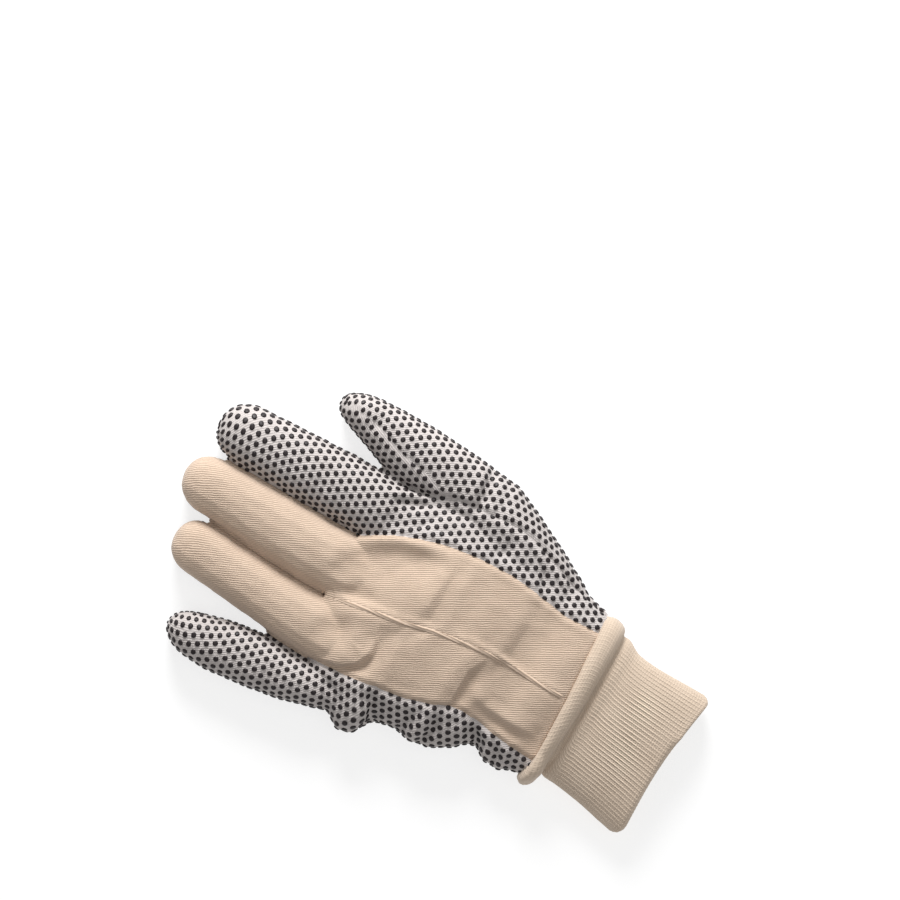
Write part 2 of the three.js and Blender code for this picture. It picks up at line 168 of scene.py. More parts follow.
LOBE_SWELL = 2.4
LOBE_HALF_LENGTH = 3.8
CREASE_DEPTH = 1.5
CREASE_WIDTH = 1.0
SHOULDER_SWELL = 1.0
SHOULDER_HALF_LENGTH = 3.0
HEM_CORNER = 4.0
HEM_OVERRUN = 2.0
HEM_RIB_LOSS = 0.6
HEM_RIB_REACH = 2.0
LIP_STEPS = 5
RIB_PITCH = 1.95
RIB_DEPTH = 0.25
RIB_STEPS = 7
RIB_ROUNDNESS = 0.25
RIB_FADE = 3.0
RIB_WANDER = 1.3
RIB_WANDER_LENGTH = 14.0
RIB_WANDER_STRETCH = (1, 0.35, 1)
RIB_UNEVENNESS = 0.5
RIB_UNEVEN_LENGTH = 7.0
RIB_SHARE_INSIDE = 0.4
KNIT_ROW = 0.76
KNIT_WALL = 2.2

DOTTED = ("palm_panel", "thumb")
PLAIN = ("back_panel_thumb_side", "back_panel_little_side")
DRILL = DOTTED + PLAIN


def arrays(mesh):
    """A Blender mesh's points in millimetres and its triangles."""
    mesh.calc_loop_triangles()
    points = np.empty(len(mesh.vertices) * 3)
    mesh.vertices.foreach_get("co", points)
    triangles = np.empty(len(mesh.loop_triangles) * 3, np.int32)
    mesh.loop_triangles.foreach_get("vertices", triangles)
    return points.reshape(-1, 3) / MM, triangles.reshape(-1, 3)


def tree_of(points, triangles):
    return BVHTree.FromPolygons(points.tolist(), triangles.tolist())


def linked(name, data):
    """A new object in the scene."""
    obj = bpy.data.objects.new(name, data)
    bpy.context.scene.collection.objects.link(obj)
    return obj


def corners_of(mesh):
    """The loop at each corner of a mesh's triangles."""
    corners = np.empty(len(mesh.loop_triangles) * 3, np.int32)
    mesh.loop_triangles.foreach_get("loops", corners)
    return corners


def make_object(name, points, faces):
    mesh = bpy.data.meshes.new(name)
    mesh.from_pydata((points * MM).tolist(), [], faces.tolist() if hasattr(faces, "tolist") else faces)
    mesh.validate()
    return linked(name, mesh)


def evaluated(obj):
    depsgraph = bpy.context.evaluated_depsgraph_get()
    return bpy.data.meshes.new_from_object(obj.evaluated_get(depsgraph))


def apply_modifiers(obj):
    """Gives an object the mesh that its modifiers make of it."""
    mesh = evaluated(obj)
    obj.modifiers.clear()
    old = obj.data
    obj.data = mesh
    bpy.data.meshes.remove(old)


def lay_cloth_uv(obj, coordinates_of):
    """Writes the UV map that the cloth's materials read, from each corner's vertex."""
    layer = obj.data.uv_layers.new(name="cloth")
    corners = np.empty(len(obj.data.loops), np.int32)
    obj.data.loops.foreach_get("vertex_index", corners)
    layer.data.foreach_set("uv", np.stack(coordinates_of(corners), 1).ravel())


def without_slivers(points, triangles):
    """A mesh with the corners that a cut left almost on top of each other merged."""
    mesh = bmesh.new()
    verts = [mesh.verts.new(point) for point in points]
    for a, b, c in triangles.tolist():
        mesh.faces.new((verts[a], verts[b], verts[c]))
    bmesh.ops.remove_doubles(mesh, verts=mesh.verts, dist=SLIVER)
    bmesh.ops.dissolve_degenerate(mesh, edges=mesh.edges, dist=0.1 * SLIVER)
    bmesh.ops.triangulate(mesh, faces=mesh.faces)
    mesh.verts.index_update()
    points = np.array([v.co for v in mesh.verts])
    triangles = np.array([[v.index for v in face.verts] for face in mesh.faces])
    mesh.free()
    return points, triangles


def sides_of(triangles):
    """The three sides of every triangle, each with its lower vertex first."""
    return np.sort(np.concatenate([triangles[:, (0, 1)], triangles[:, (1, 2)], triangles[:, (2, 0)]]), 1)


def edges_of(triangles):
    return np.unique(sides_of(triangles), axis=0)


def neighbour_counts(points, edges):
    return np.maximum(np.bincount(edges.ravel(), minlength=len(points)), 1)


def neighbour_mean(values, edges, counts):
    """The mean of each vertex's neighbours, for values of one or more columns."""
    a, b = edges.T
    columns = values.reshape(len(values), -1)
    size = len(columns)
    sums = [
        np.bincount(a, columns[b, k], size) + np.bincount(b, columns[a, k], size)
        for k in range(columns.shape[1])
    ]
    return (np.stack(sums, 1) / counts[:, None]).reshape(values.shape)


def smoothed(values, edges, rounds, shrink=0.5, regrow=-0.52):
    """Smooths without shrinking: each round pulls towards the neighbours' mean and pushes back."""
    counts = neighbour_counts(values, edges)
    values = values.copy()
    for _ in range(rounds):
        for weight in (shrink, regrow):
            values += weight * (neighbour_mean(values, edges, counts) - values)
    return values


def eased_line(line, rounds):
    """A line of points, or a grid of them, smoothed between its two ends."""
    line = line.copy()
    for _ in range(rounds):
        line[1:-1] = 0.5 * line[1:-1] + 0.25 * (line[2:] + line[:-2])
    return line


def resampled(route, steps_of):
    """A route's points at the distances along it that steps_of gives for its length, and those distances."""
    along = np.concatenate([[0], np.cumsum(np.linalg.norm(np.diff(route, axis=0), axis=1))])
    wanted = steps_of(along[-1])
    return np.stack([np.interp(wanted, along, column) for column in route.T], 1), wanted


def face_normals(points, triangles):
    """Each triangle's normal, twice as long as its area is large."""
    a, b, c = (points[triangles[:, k]] for k in range(3))
    return np.cross(b - a, c - a)


def normals_of(points, triangles):
    face = face_normals(points, triangles)
    total = np.zeros_like(points)
    for k in range(3):
        for axis in range(3):
            total[:, axis] += np.bincount(triangles[:, k], face[:, axis], len(points))
    return total / np.maximum(np.linalg.norm(total, axis=1, keepdims=True), 1e-12)


def clipped(columns, triangles, field):
    """The part of a mesh where field is positive, cut along its zero line.

    columns holds every value that belongs to a vertex, and new ones are worked out along the cut edges."""
    inside = field > 0
    kinds = inside[triangles].sum(1)
    whole = triangles[kinds == 3]
    partial = triangles[(kinds == 1) | (kinds == 2)]
    lone_inside = inside[partial].sum(1) == 1
    lone = np.argmax(inside[partial] == lone_inside[:, None], axis=1)
    rows = np.arange(len(partial))
    tip, left, right = (partial[rows, (lone + k) % 3] for k in range(3))
    cuts = np.sort(np.concatenate([np.stack([tip, left], 1), np.stack([tip, right], 1)]), axis=1)
    unique, index = np.unique(cuts, axis=0, return_inverse=True)
    share = field[unique[:, 0]] / (field[unique[:, 0]] - field[unique[:, 1]])
    new = columns[unique[:, 0]] + share[:, None] * (columns[unique[:, 1]] - columns[unique[:, 0]])
    index = index.reshape(-1) + len(columns)
    on_left, on_right = index[: len(partial)], index[len(partial):]
    one = np.stack([tip, on_left, on_right], 1)[lone_inside]
    two = np.concatenate([
        np.stack([on_left, left, right], 1)[~lone_inside],
        np.stack([on_left, right, on_right], 1)[~lone_inside],
    ])
    faces = np.concatenate([whole, one, two])
    used, renumbered = np.unique(faces, return_inverse=True)
    return np.concatenate([columns, new])[used], renumbered.reshape(-1, 3)


def largest_piece(columns, triangles):
    """Drops everything that isn't joined to the largest piece of a mesh."""
    edges = edges_of(triangles)
    label = np.arange(len(columns))
    while True:
        lowest = np.minimum(label[edges[:, 0]], label[edges[:, 1]])
        new = label.copy()
        np.minimum.at(new, edges[:, 0], lowest)
        np.minimum.at(new, edges[:, 1], lowest)
        new = new[new]
        if np.array_equal(new, label):
            break
        label = new
    main = np.bincount(label[triangles[:, 0]]).argmax()
    kept = triangles[label[triangles[:, 0]] == main]
    used, renumbered = np.unique(kept, return_inverse=True)
    return columns[used], renumbered.reshape(-1, 3)


def noise_at(points, length, seed, stretch=(1, 1, 1)):
    """Smooth noise between about -1 and 1, with features about so long, for any array of points."""
    places = points.reshape(-1, 3) * np.array(stretch) / length + SEEDS[seed]
    return np.array([noise.noise(Vector(p)) for p in places]).reshape(points.shape[:-1])


def bell(distance, width):
    """A bell curve, 1 in its middle."""
    return np.exp(-((distance / width) ** 2))


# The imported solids
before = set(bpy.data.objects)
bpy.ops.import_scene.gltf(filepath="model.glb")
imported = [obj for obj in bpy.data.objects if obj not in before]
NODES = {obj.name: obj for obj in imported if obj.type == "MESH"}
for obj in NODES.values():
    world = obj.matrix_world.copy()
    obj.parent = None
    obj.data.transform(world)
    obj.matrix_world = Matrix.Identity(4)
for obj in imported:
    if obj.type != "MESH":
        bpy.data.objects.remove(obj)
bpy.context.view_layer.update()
KNIT_POINTS, KNIT_TRIANGLES = arrays(NODES["knit_cuff"].data)


def wrist_line():
    """The wrist seam as y of x, fitted to the knit's top over the span where it runs straight."""
    bins = np.arange(*WRIST_SPAN, WRIST_BIN)
    places = np.digitize(KNIT_POINTS[:, 0], bins)
    tops = [KNIT_POINTS[places == k] for k in range(1, len(bins)) if np.any(places == k)]
    x, y = np.array([found[found[:, 1].argmax(), :2] for found in tops]).T
    return np.poly1d(np.polyfit(x, y, 1))


WRIST_LINE = wrist_line()


def wrist_plug():
    """A solid that carries the drill's outline on past its wrist end, so that smoothing spares that end."""
    ends = []
    for name in DRILL:
        points = arrays(NODES[name].data)[0]
        ends.append(points[points[:, 1] < WRIST_LINE(points[:, 0]) + WRIST_RING])
    ring = np.concatenate(ends)
    far = ring - (0, WRIST_OVERRUN, 0)
    plug = bmesh.new()
    for point in np.concatenate([ring, far]):
        plug.verts.new(point * MM)
    hull = bmesh.ops.convex_hull(plug, input=plug.verts)
    bmesh.ops.delete(plug, geom=hull["geom_interior"], context="VERTS")
    return plug


def drill_skin():
    """The drill's outer skin as points and triangles, with each point's distance to every panel's solid."""
    joined = wrist_plug()
    for name in DRILL:
        joined.from_mesh(NODES[name].data)
    mesh = bpy.data.meshes.new("joined")
    joined.to_mesh(mesh)
    joined.free()
    obj = linked("joined", mesh)
    remesh = obj.modifiers.new("skin", "REMESH")
    remesh.mode = "VOXEL"
    remesh.voxel_size = VOXEL * MM
    skin = evaluated(obj)
    bpy.data.objects.remove(obj)
    points, triangles = largest_piece(*arrays(skin))
    distances = []
    for name in DRILL:
        tree = tree_of(*arrays(NODES[name].data))
        distances.append([tree.find_nearest(p)[3] for p in points.tolist()])
    return points, triangles, np.array(distances).T


# Folds of the cloth: each is a path of (x, y) on the glove, how high it stands (a valley is below zero), how
# far it spreads to the left and to the right of its path, all in millimetres, and a power for its right side
# where that breaks away sharply: 1 for a tent's slope in place of a bell's.
FOLDS = {
    "ring_root_roll": (((-42, 118), (-39, 106), (-34.5, 98.5), (-28, 95.8), (-20, 96.6)), 1.9, 8.0, 1.3),
    "ring_root_crease": (((-43, 114), (-39.5, 103.5), (-34.8, 96.2), (-28, 93.2), (-19, 94)), -1.2, 1.2, 4.0),
    "ring_root_hollow": (((-34, 128), (-27, 118), (-20, 108)), -0.9, 5.0, 5.0),
    "ring_inner_slope": (((-20, 128), (-15, 114), (-12, 102), (-8, 90), (-5, 78)), 0.8, 4.5, 5.0),
    "seam_side_hollow": (((-8, 122), (-6, 113), (-3, 103)), -1.2, 4.5, 3.0),
    "index_seam_ridge": (((12, 134), (17, 125.5), (22, 118), (26, 111), (28.7, 103), (30.2, 96), (31.8, 80),
                          (33.5, 68)), 1.2, 3.2, 4.5),
    "index_seam_hollow": (((-8, 135), (0.5, 130), (11.5, 121.5), (17, 115), (21, 108), (24, 100), (25, 92),
                           (24.5, 84)), -1.0, 4.0, 6.0),
    "knuckle_step": (((-6, 84), (8, 82), (20, 80.3), (33, 78.2)), 2.6, 8.0, 13.0, 1.0),
    "knuckle_hollow": (((-4, 66), (12, 65), (30, 63)), -0.9, 9.0, 7.0),
    "side_step": (((-34, 51), (-24, 50.8), (-12, 50.5), (-7, 47.5), (-1, 43.5)), 1.7, 8.0, 2.4, 1.0),
    "side_step_foot": (((-33, 48.5), (-22, 48.4), (-12, 48), (-4, 43.5)), -1.3, 1.4, 6.0),
    "heel_ridge": (((-1, 40), (14, 39), (30, 38)), 0.9, 6.0, 6.0),
    "heel_hollow": (((-24, 27), (-8, 26), (4, 25.5), (18, 25.5), (33, 25)), -1.9, 13.0, 7.0),
    "wrist_rise": (((-22, 8), (0, 8), (32, 8)), 1.7, 10.0, 6.0),
    "wrist_ridge": (((-20, 42), (-22.5, 34), (-23.5, 24), (-23.5, 5)), 1.5, 4.0, 2.4),
    "wrist_side_hollow": (((-27, 40), (-28.5, 24), (-29, 6)), -0.9, 3.0, 3.0),
    "thumb_base_crease": (((56, 84), (66, 84), (80, 86)), -2.0, 2.4, 3.0),
    "thumb_base_roll": (((58, 89), (68, 88.6), (80, 90.5)), 0.9, 5.0, 2.0),
    "thumb_lower_fold": (((57, 74), (66, 73), (78, 76)), -0.8, 3.0, 3.0),
    "thumb_web_crease": (((51, 130), (53, 105), (57, 95), (58, 85)), -1.2, 2.6, 2.6),
    "thumb_web_fold": (((40, 120), (46, 108), (51, 96), (54, 84)), -0.8, 3.0, 4.0),
    "thumb_seam": (((73, 163), (70, 143), (64, 128), (62, 116), (58, 103)), -0.5, 1.2, 1.2),
    "thumb_tip_fold": (((66, 150), (70, 146), (77, 146)), -0.6, 2.5, 2.5),
    "web_ridge": (((44, 127), (46, 121), (50, 110), (53, 101)), 1.2, 2.2, 1.5),
    "web_valley": (((42, 125), (44, 118), (48, 108), (51, 99)), -1.2, 1.5, 2.5),
    "web_gather": (((35, 113), (41, 109), (47, 105), (52, 97)), 0.8, 2.0, 2.0),
    "web_gather_low": (((34, 106), (41, 102), (48, 97)), -0.8, 1.6, 2.0),
    "strip_fold_high": (((40, 68), (47, 62), (56, 60)), -0.9, 3.0, 4.0),
    "strip_fold_low": (((35, 33), (42, 38), (51, 43)), -1.6, 2.0, 2.5),
    "strip_fold_wrist": (((35, 27), (42, 24), (52, 27)), -0.8, 2.6, 3.0),
    "index_root_fold": (((28, 122), (38, 117), (50, 118)), -0.8, 3.0, 4.0),
    "index_middle_fold": (((24, 158), (34, 155), (46, 157)), -0.5, 4.0, 4.0),
    "little_root_fold": (((-66, 101), (-56, 104), (-46, 109)), -1.5, 3.0, 4.0),
    "little_middle_fold": (((-76, 136), (-66, 133), (-54, 135)), -0.7, 3.0, 4.0),
    "scallop_fold_high": (((-68, 82), (-58, 79), (-50, 82), (-43, 87)), -2.9, 2.4, 4.0),
    "scallop_roll_high": (((-66, 88), (-56, 86), (-46, 91)), 1.3, 4.0, 3.0),
    "scallop_fold_mid": (((-62, 68), (-50, 65), (-41, 64)), -1.9, 2.2, 4.0),
    "scallop_fold_low": (((-60, 54), (-46, 51), (-36, 53)), -2.6, 2.2, 3.0),
    "scallop_roll_low": (((-58, 60), (-46, 57.5), (-38, 58)), 1.2, 3.5, 3.0),
    "scallop_fold_wrist": (((-50, 31), (-41, 30), (-33, 36)), -2.7, 2.0, 3.0),
    "scallop_roll_wrist": (((-52, 40), (-44, 38), (-35, 42)), 1.3, 3.5, 3.0),
    "scallop_fold_end": (((-52, 18), (-43, 18), (-35, 22)), -2.0, 1.9, 2.6),
    "scallop_fold_last": (((-50, 11), (-42, 11), (-36, 13)), -0.8, 2.0, 2.4),
}


def fold_height(points, path, height, left, right, power=2.0):
    """How far one fold lifts each point: most on its path, spreading to its sides and fading at its ends."""
    route = np.array(path, float)
    starts, spans = route[:-1], route[1:] - route[:-1]
    lengths = np.linalg.norm(spans, axis=1)
    total = lengths.sum()
    before = np.cumsum(lengths) - lengths
    best = np.full(len(points), 1e9)
    side = np.zeros(len(points))
    along = np.zeros(len(points))
    for k in range(len(spans)):
        offset = points[:, :2] - starts[k]
        share = np.clip(offset @ spans[k] / lengths[k] ** 2, 0, 1)
        distance = np.linalg.norm(offset - share[:, None] * spans[k], axis=1)
        nearer = distance < best
        turn = spans[k][0] * offset[:, 1] - spans[k][1] * offset[:, 0]
        best = np.where(nearer, distance, best)
        side = np.where(nearer, turn, side)
        along = np.where(nearer, before[k] + share * lengths[k], along)
    spread = np.where(side > 0, left, right)
    ends = np.clip(np.minimum(along, total - along) / (FOLD_FADE * total), 0, 1)
    bend = np.exp(-((best / spread) ** np.where(side > 0, 2.0, power)))
    return height * (FOLD_END + (1 - FOLD_END) * ends) * bend


def folded(points, triangles):
    """The skin with its folds, and with the soft unevenness of worn drill."""
    normal = normals_of(points, triangles)
    upward = np.clip(normal[:, 2] + 0.15, 0, 1) ** 0.5
    lift = np.zeros(len(points))
    for fold in FOLDS.values():
        lift += fold_height(points, *fold)
    lift *= FOLD_STRENGTH * upward
    flank = np.clip(1.2 - np.abs(normal[:, 2]), UNEVEN_ON_TOP, 1)
    lift += UNEVEN_HEIGHT * noise_at(points, UNEVEN_LENGTH, "uneven") * flank
    lift += FINE_HEIGHT * noise_at(points, FINE_LENGTH, "fine")
    return points + (lift + FULLNESS)[:, None] * normal


def closed_fingers(points, triangles, edges):
    """The skin with neighbouring fingers swelled until they touch, where only a narrow gap parts them."""
    normal = normals_of(points, triangles)
    tree = tree_of(points, triangles)
    push = np.zeros(len(points))
    chosen = np.flatnonzero((points[:, 1] > FINGER_ROOTS) & (np.abs(normal[:, 2]) < FINGER_SIDE))
    for k in chosen.tolist():
        start = Vector(points[k] + 0.05 * normal[k])
        distance = tree.ray_cast(start, Vector(normal[k]), FINGER_GAP)[3]
        if distance is not None:
            push[k] = 0.5 * distance - TOUCH_GAP
    counts = neighbour_counts(points, edges)
    for _ in range(2):
        push = np.minimum(push, 0.5 * (push + neighbour_mean(push, edges, counts)) + 0.5 * TOUCH_GAP)
    return points + push[:, None] * normal


def rested(points):
    """The points with what lies under the floor's level flattened on to it."""
    points = points.copy()
    points[:, 2] = np.maximum(points[:, 2], FLOOR_LIFT)
    return points


def distance_to_seams(points, edges, distances):
    """How far each vertex lies from the nearest seam over the cloth. distances holds those to each panel."""
    ordered = np.sort(distances, axis=1)
    margin = ordered[:, 1] - ordered[:, 0]
    owner = distances.argmin(1)
    across = owner[edges[:, 0]] != owner[edges[:, 1]]
    sources = np.unique(edges[across])
    result = np.full(len(points), SEAM_REACH)
    result[sources] = np.minimum(margin[sources], NEAR_SEAM)
    a, b = edges.T
    length = np.linalg.norm(points[a] - points[b], axis=1)
    for _ in range(SEAM_STEPS):
        np.minimum.at(result, a, result[b] + length)
        np.minimum.at(result, b, result[a] + length)
    return smoothed(result, edges, 2)


def sewn(points, triangles, seam_distance, distances):
    """The skin with the groove, the swell and the puckers that its seams give it.

    The two back panels meet under a welt, so their seam has only a trace of all three."""
    normal = normals_of(points, triangles)
    dotted = distances[:, :2].min(1)
    outer = 1 - WELTED_LOSS * np.clip((dotted - WELTED_START) / WELTED_SPAN, 0, 1)
    groove = GROOVE_DEPTH * outer * bell(seam_distance, GROOVE_WIDTH)
    swell = SWELL_HEIGHT * bell(seam_distance - SWELL_PLACE, SWELL_WIDTH)
    pucker = PUCKER_DEPTH * noise_at(points, 0.5 * PUCKER_LENGTH, "pucker")
    pucker *= outer * bell(seam_distance, PUCKER_REACH)
    return points + (swell * outer + pucker - groove)[:, None] * normal


def untangled(points, triangles, edges):
    """The skin with the few faces that are folded over eased flat."""
    counts = neighbour_counts(points, edges)
    points = points.copy()
    for _ in range(UNTANGLING_ROUNDS):
        face = face_normals(points, triangles)
        around = normals_of(points, triangles)[triangles].mean(1)
        sizes = np.linalg.norm(face, axis=1) * np.linalg.norm(around, axis=1)
        turned = (face * around).sum(1) < FOLDED_OVER * sizes
        chosen = np.zeros(len(points))
        chosen[triangles[turned]] = 1
        chosen = (chosen + neighbour_mean(chosen, edges, counts)) > 0
        points[chosen] += UNTANGLING_PULL * (neighbour_mean(points, edges, counts) - points)[chosen]
    return points


def tucked(points, triangles):
    """The skin with its wrist end dipping in under the knit's roll."""
    normal = normals_of(points, triangles)
    past = np.clip((WRIST_LINE(points[:, 0]) + TUCK_START - points[:, 1]) / TUCK_LENGTH, 0, 1)
    return points - (TUCK_DEPTH * past**2)[:, None] * normal


def lightened(obj, most):
    """An object with faces taken out of its flattest stretches until it has at most so many."""
    if len(obj.data.polygons) > most:
        fewer = obj.modifiers.new("fewer", "DECIMATE")
        fewer.ratio = most / len(obj.data.polygons)
        apply_modifiers(obj)
    return obj


def unwrapped(obj, slit_edges_of):
    """Opens a coarse panel along its slits, lays it flat and returns its corners in space and flat."""
    mesh = obj.data
    points, triangles = arrays(mesh)
    slits = {tuple(edge) for edge in slit_edges_of(points, triangles).tolist()}
    for edge in mesh.edges:
        edge.use_seam = tuple(sorted(edge.vertices)) in slits
    mesh.uv_layers.new(name="cloth")
    bpy.ops.object.select_all(action="DESELECT")
    obj.select_set(True)
    bpy.context.view_layer.objects.active = obj
    bpy.ops.object.mode_set(mode="EDIT")
    bpy.ops.mesh.select_all(action="SELECT")
    bpy.ops.uv.unwrap(method="ANGLE_BASED", margin=0.001)
    bpy.ops.object.mode_set(mode="OBJECT")
    uv = np.empty(len(mesh.loops) * 2)
    mesh.uv_layers.active.data.foreach_get("uv", uv)
    return points[triangles], uv.reshape(-1, 2)[corners_of(mesh)].reshape(-1, 3, 2)


def own_shapes(solid):
    """Each triangle laid flat by itself, its first corner at the origin and its first side along x."""
    first, second = solid[:, 1] - solid[:, 0], solid[:, 2] - solid[:, 0]
    along = first / np.linalg.norm(first, axis=1, keepdims=True)
    normal = np.cross(first, second)
    upward = np.cross(normal / np.linalg.norm(normal, axis=1, keepdims=True), along)
    shapes = np.zeros((len(solid), 3, 2))
    shapes[:, 1, 0] = np.linalg.norm(first, axis=1)
    shapes[:, 2, 0] = (second * along).sum(1)
    shapes[:, 2, 1] = (second * upward).sum(1)
    return shapes


class Springs:
    """The sides of a flat mesh's faces as springs, each with a weight."""

    def __init__(self, faces, weight, size):
        self.start = faces.ravel()
        self.end = np.roll(faces, -1, 1).ravel()
        self.weight = weight.ravel()
        self.size = size
        self.stiffness = self.gathered(self.start, self.weight) + self.gathered(self.end, self.weight)

    def gathered(self, places, values):
        return np.bincount(places, values, self.size)

    def pull(self, places):
        """How hard the springs pull each corner, for every column of places."""
        columns = []
        for column in places.T:
            stretch = self.weight * (column[self.start] - column[self.end])
            columns.append(self.gathered(self.start, stretch) - self.gathered(self.end, stretch))
        return np.stack(columns, 1)

    def settled(self, places, sides):
        """The corners moved towards where every side has the length and direction asked for."""
        wanted = self.weight[:, None] * sides.reshape(-1, 2)
        load = [self.gathered(self.start, column) - self.gathered(self.end, column) for column in wanted.T]
        left = np.stack(load, 1) - self.pull(places)
        eased_left = left / self.stiffness[:, None]
        step = eased_left.copy()
        size = (left * eased_left).sum(0)
        for _ in range(SPRING_ROUNDS):
            pull = self.pull(step)
            share = size / np.maximum((step * pull).sum(0), 1e-12)
            places = places + share * step
            left = left - share * pull
            eased_left = left / self.stiffness[:, None]
            new_size = (left * eased_left).sum(0)
            step = eased_left + new_size / np.maximum(size, 1e-12) * step
            size = new_size
        return places


def eased(solid, flat):
    """Relaxes a flat pattern until its triangles keep their true shapes as nearly as they can.

    Each round turns every triangle's own shape to where it lies, and then fits the corners to all of them."""
    keys = np.round(CORNER_STEPS * np.concatenate([solid.reshape(-1, 3), flat.reshape(-1, 2)], 1))
    _, first, index = np.unique(keys, axis=0, return_index=True, return_inverse=True)
    places = flat.reshape(-1, 2)[first]
    faces = index.reshape(-1, 3)
    shapes = own_shapes(solid)
    sides = shapes - np.roll(shapes, -1, 1)
    before, after = -np.roll(sides, -1, 1), np.roll(sides, 1, 1)
    cross = before[:, :, 0] * after[:, :, 1] - before[:, :, 1] * after[:, :, 0]
    weight = np.clip((before * after).sum(2) / np.maximum(np.abs(cross), 1e-9), *SPRING_LIMITS)
    system = Springs(faces, weight, len(places))
    for _ in range(PATTERN_ROUNDS):
        lying = places[faces] - np.roll(places[faces], -1, 1)
        pulls = np.einsum("mk,mki,mkj->mij", weight, lying, sides)
        cosine, sine = pulls[:, 0, 0] + pulls[:, 1, 1], pulls[:, 1, 0] - pulls[:, 0, 1]
        length = np.maximum(np.hypot(cosine, sine), 1e-12)
        turn = np.array([[cosine, -sine], [sine, cosine]]) / length
        places = system.settled(places, np.einsum("ijm,mkj->mki", turn, sides))
    return places[faces]


def true_size(solid, flat):
    """A flat pattern scaled to its cloth's real size and turned so that its V runs along the fingers."""
    du, dv = flat[:, 1] - flat[:, 0], flat[:, 2] - flat[:, 0]
    area = du[:, 0] * dv[:, 1] - du[:, 1] * dv[:, 0]
    real = np.linalg.norm(np.cross(solid[:, 1] - solid[:, 0], solid[:, 2] - solid[:, 0]), axis=1)
    rise = ((solid[:, 1, 1] - solid[:, 0, 1])[:, None] * np.stack([dv[:, 1], -dv[:, 0]], 1)
            + (solid[:, 2, 1] - solid[:, 0, 1])[:, None] * np.stack([-du[:, 1], du[:, 0]], 1))
    uphill = rise.sum(0)
    turn = math.pi / 2 - math.atan2(uphill[1], uphill[0])
    scale = math.sqrt(real.sum() / np.abs(area).sum())
    c, s = math.cos(turn) * scale, math.sin(turn) * scale
    return flat @ np.array([[c, s], [-s, c]])


def shares_of(point, corners):
    """A point's barycentric shares in triangles, for arrays of both."""
    a, b, c = corners[:, 0], corners[:, 1], corners[:, 2]
    p, q, r = b - a, c - a, point - a
    pp, pq, qq = (p * p).sum(1), (p * q).sum(1), (q * q).sum(1)
    rp, rq = (r * p).sum(1), (r * q).sum(1)
    scale = np.maximum(pp * qq - pq * pq, 1e-12)
    second = (qq * rp - pq * rq) / scale
    third = (pp * rq - pq * rp) / scale
    return np.stack([1 - second - third, second, third], 1)


def flattened(obj, slit_edges_of, faces):
    """Lays a panel flat as its pattern piece: a UV map in real millimetres, worked out on a coarse copy."""
    copy = lightened(linked("pattern", obj.data.copy()), faces)
    solid, flat = unwrapped(copy, slit_edges_of)
    flat = true_size(solid, eased(solid, true_size(solid, flat)))
    bpy.data.objects.remove(copy)
    coarse_faces = np.arange(len(solid) * 3).reshape(-1, 3)
    tree = tree_of(solid.reshape(-1, 3), coarse_faces)
    points, triangles = arrays(obj.data)

    def placed(places, rows=None):
        """Where places lie on the pattern, each in its nearest coarse face or in the face given."""
        if rows is None:
            rows = np.array([tree.find_nearest(p)[2] for p in places.tolist()], int)
        shares = shares_of(places, solid[rows])
        return (shares[:, :, None] * flat[rows]).sum(1), rows

    spread = placed(points)[0][triangles]
    reach = np.linalg.norm(spread - np.roll(spread, 1, 1), axis=2).max(1)
    length = np.linalg.norm(points[triangles] - np.roll(points[triangles], 1, 1), axis=2).max(1)
    torn = reach > 3 * length + 1
    middles = points[triangles[torn]].mean(1)
    rows = placed(middles)[1]
    for corner in range(3):
        spread[torn, corner] = placed(points[triangles[torn, corner]], rows)[0]
    layer = obj.data.uv_layers.new(name="cloth")
    uv = np.zeros((len(obj.data.loops), 2))
    uv[corners_of(obj.data)] = spread.reshape(-1, 2)
    layer.data.foreach_set("uv", uv.ravel())
    return spread


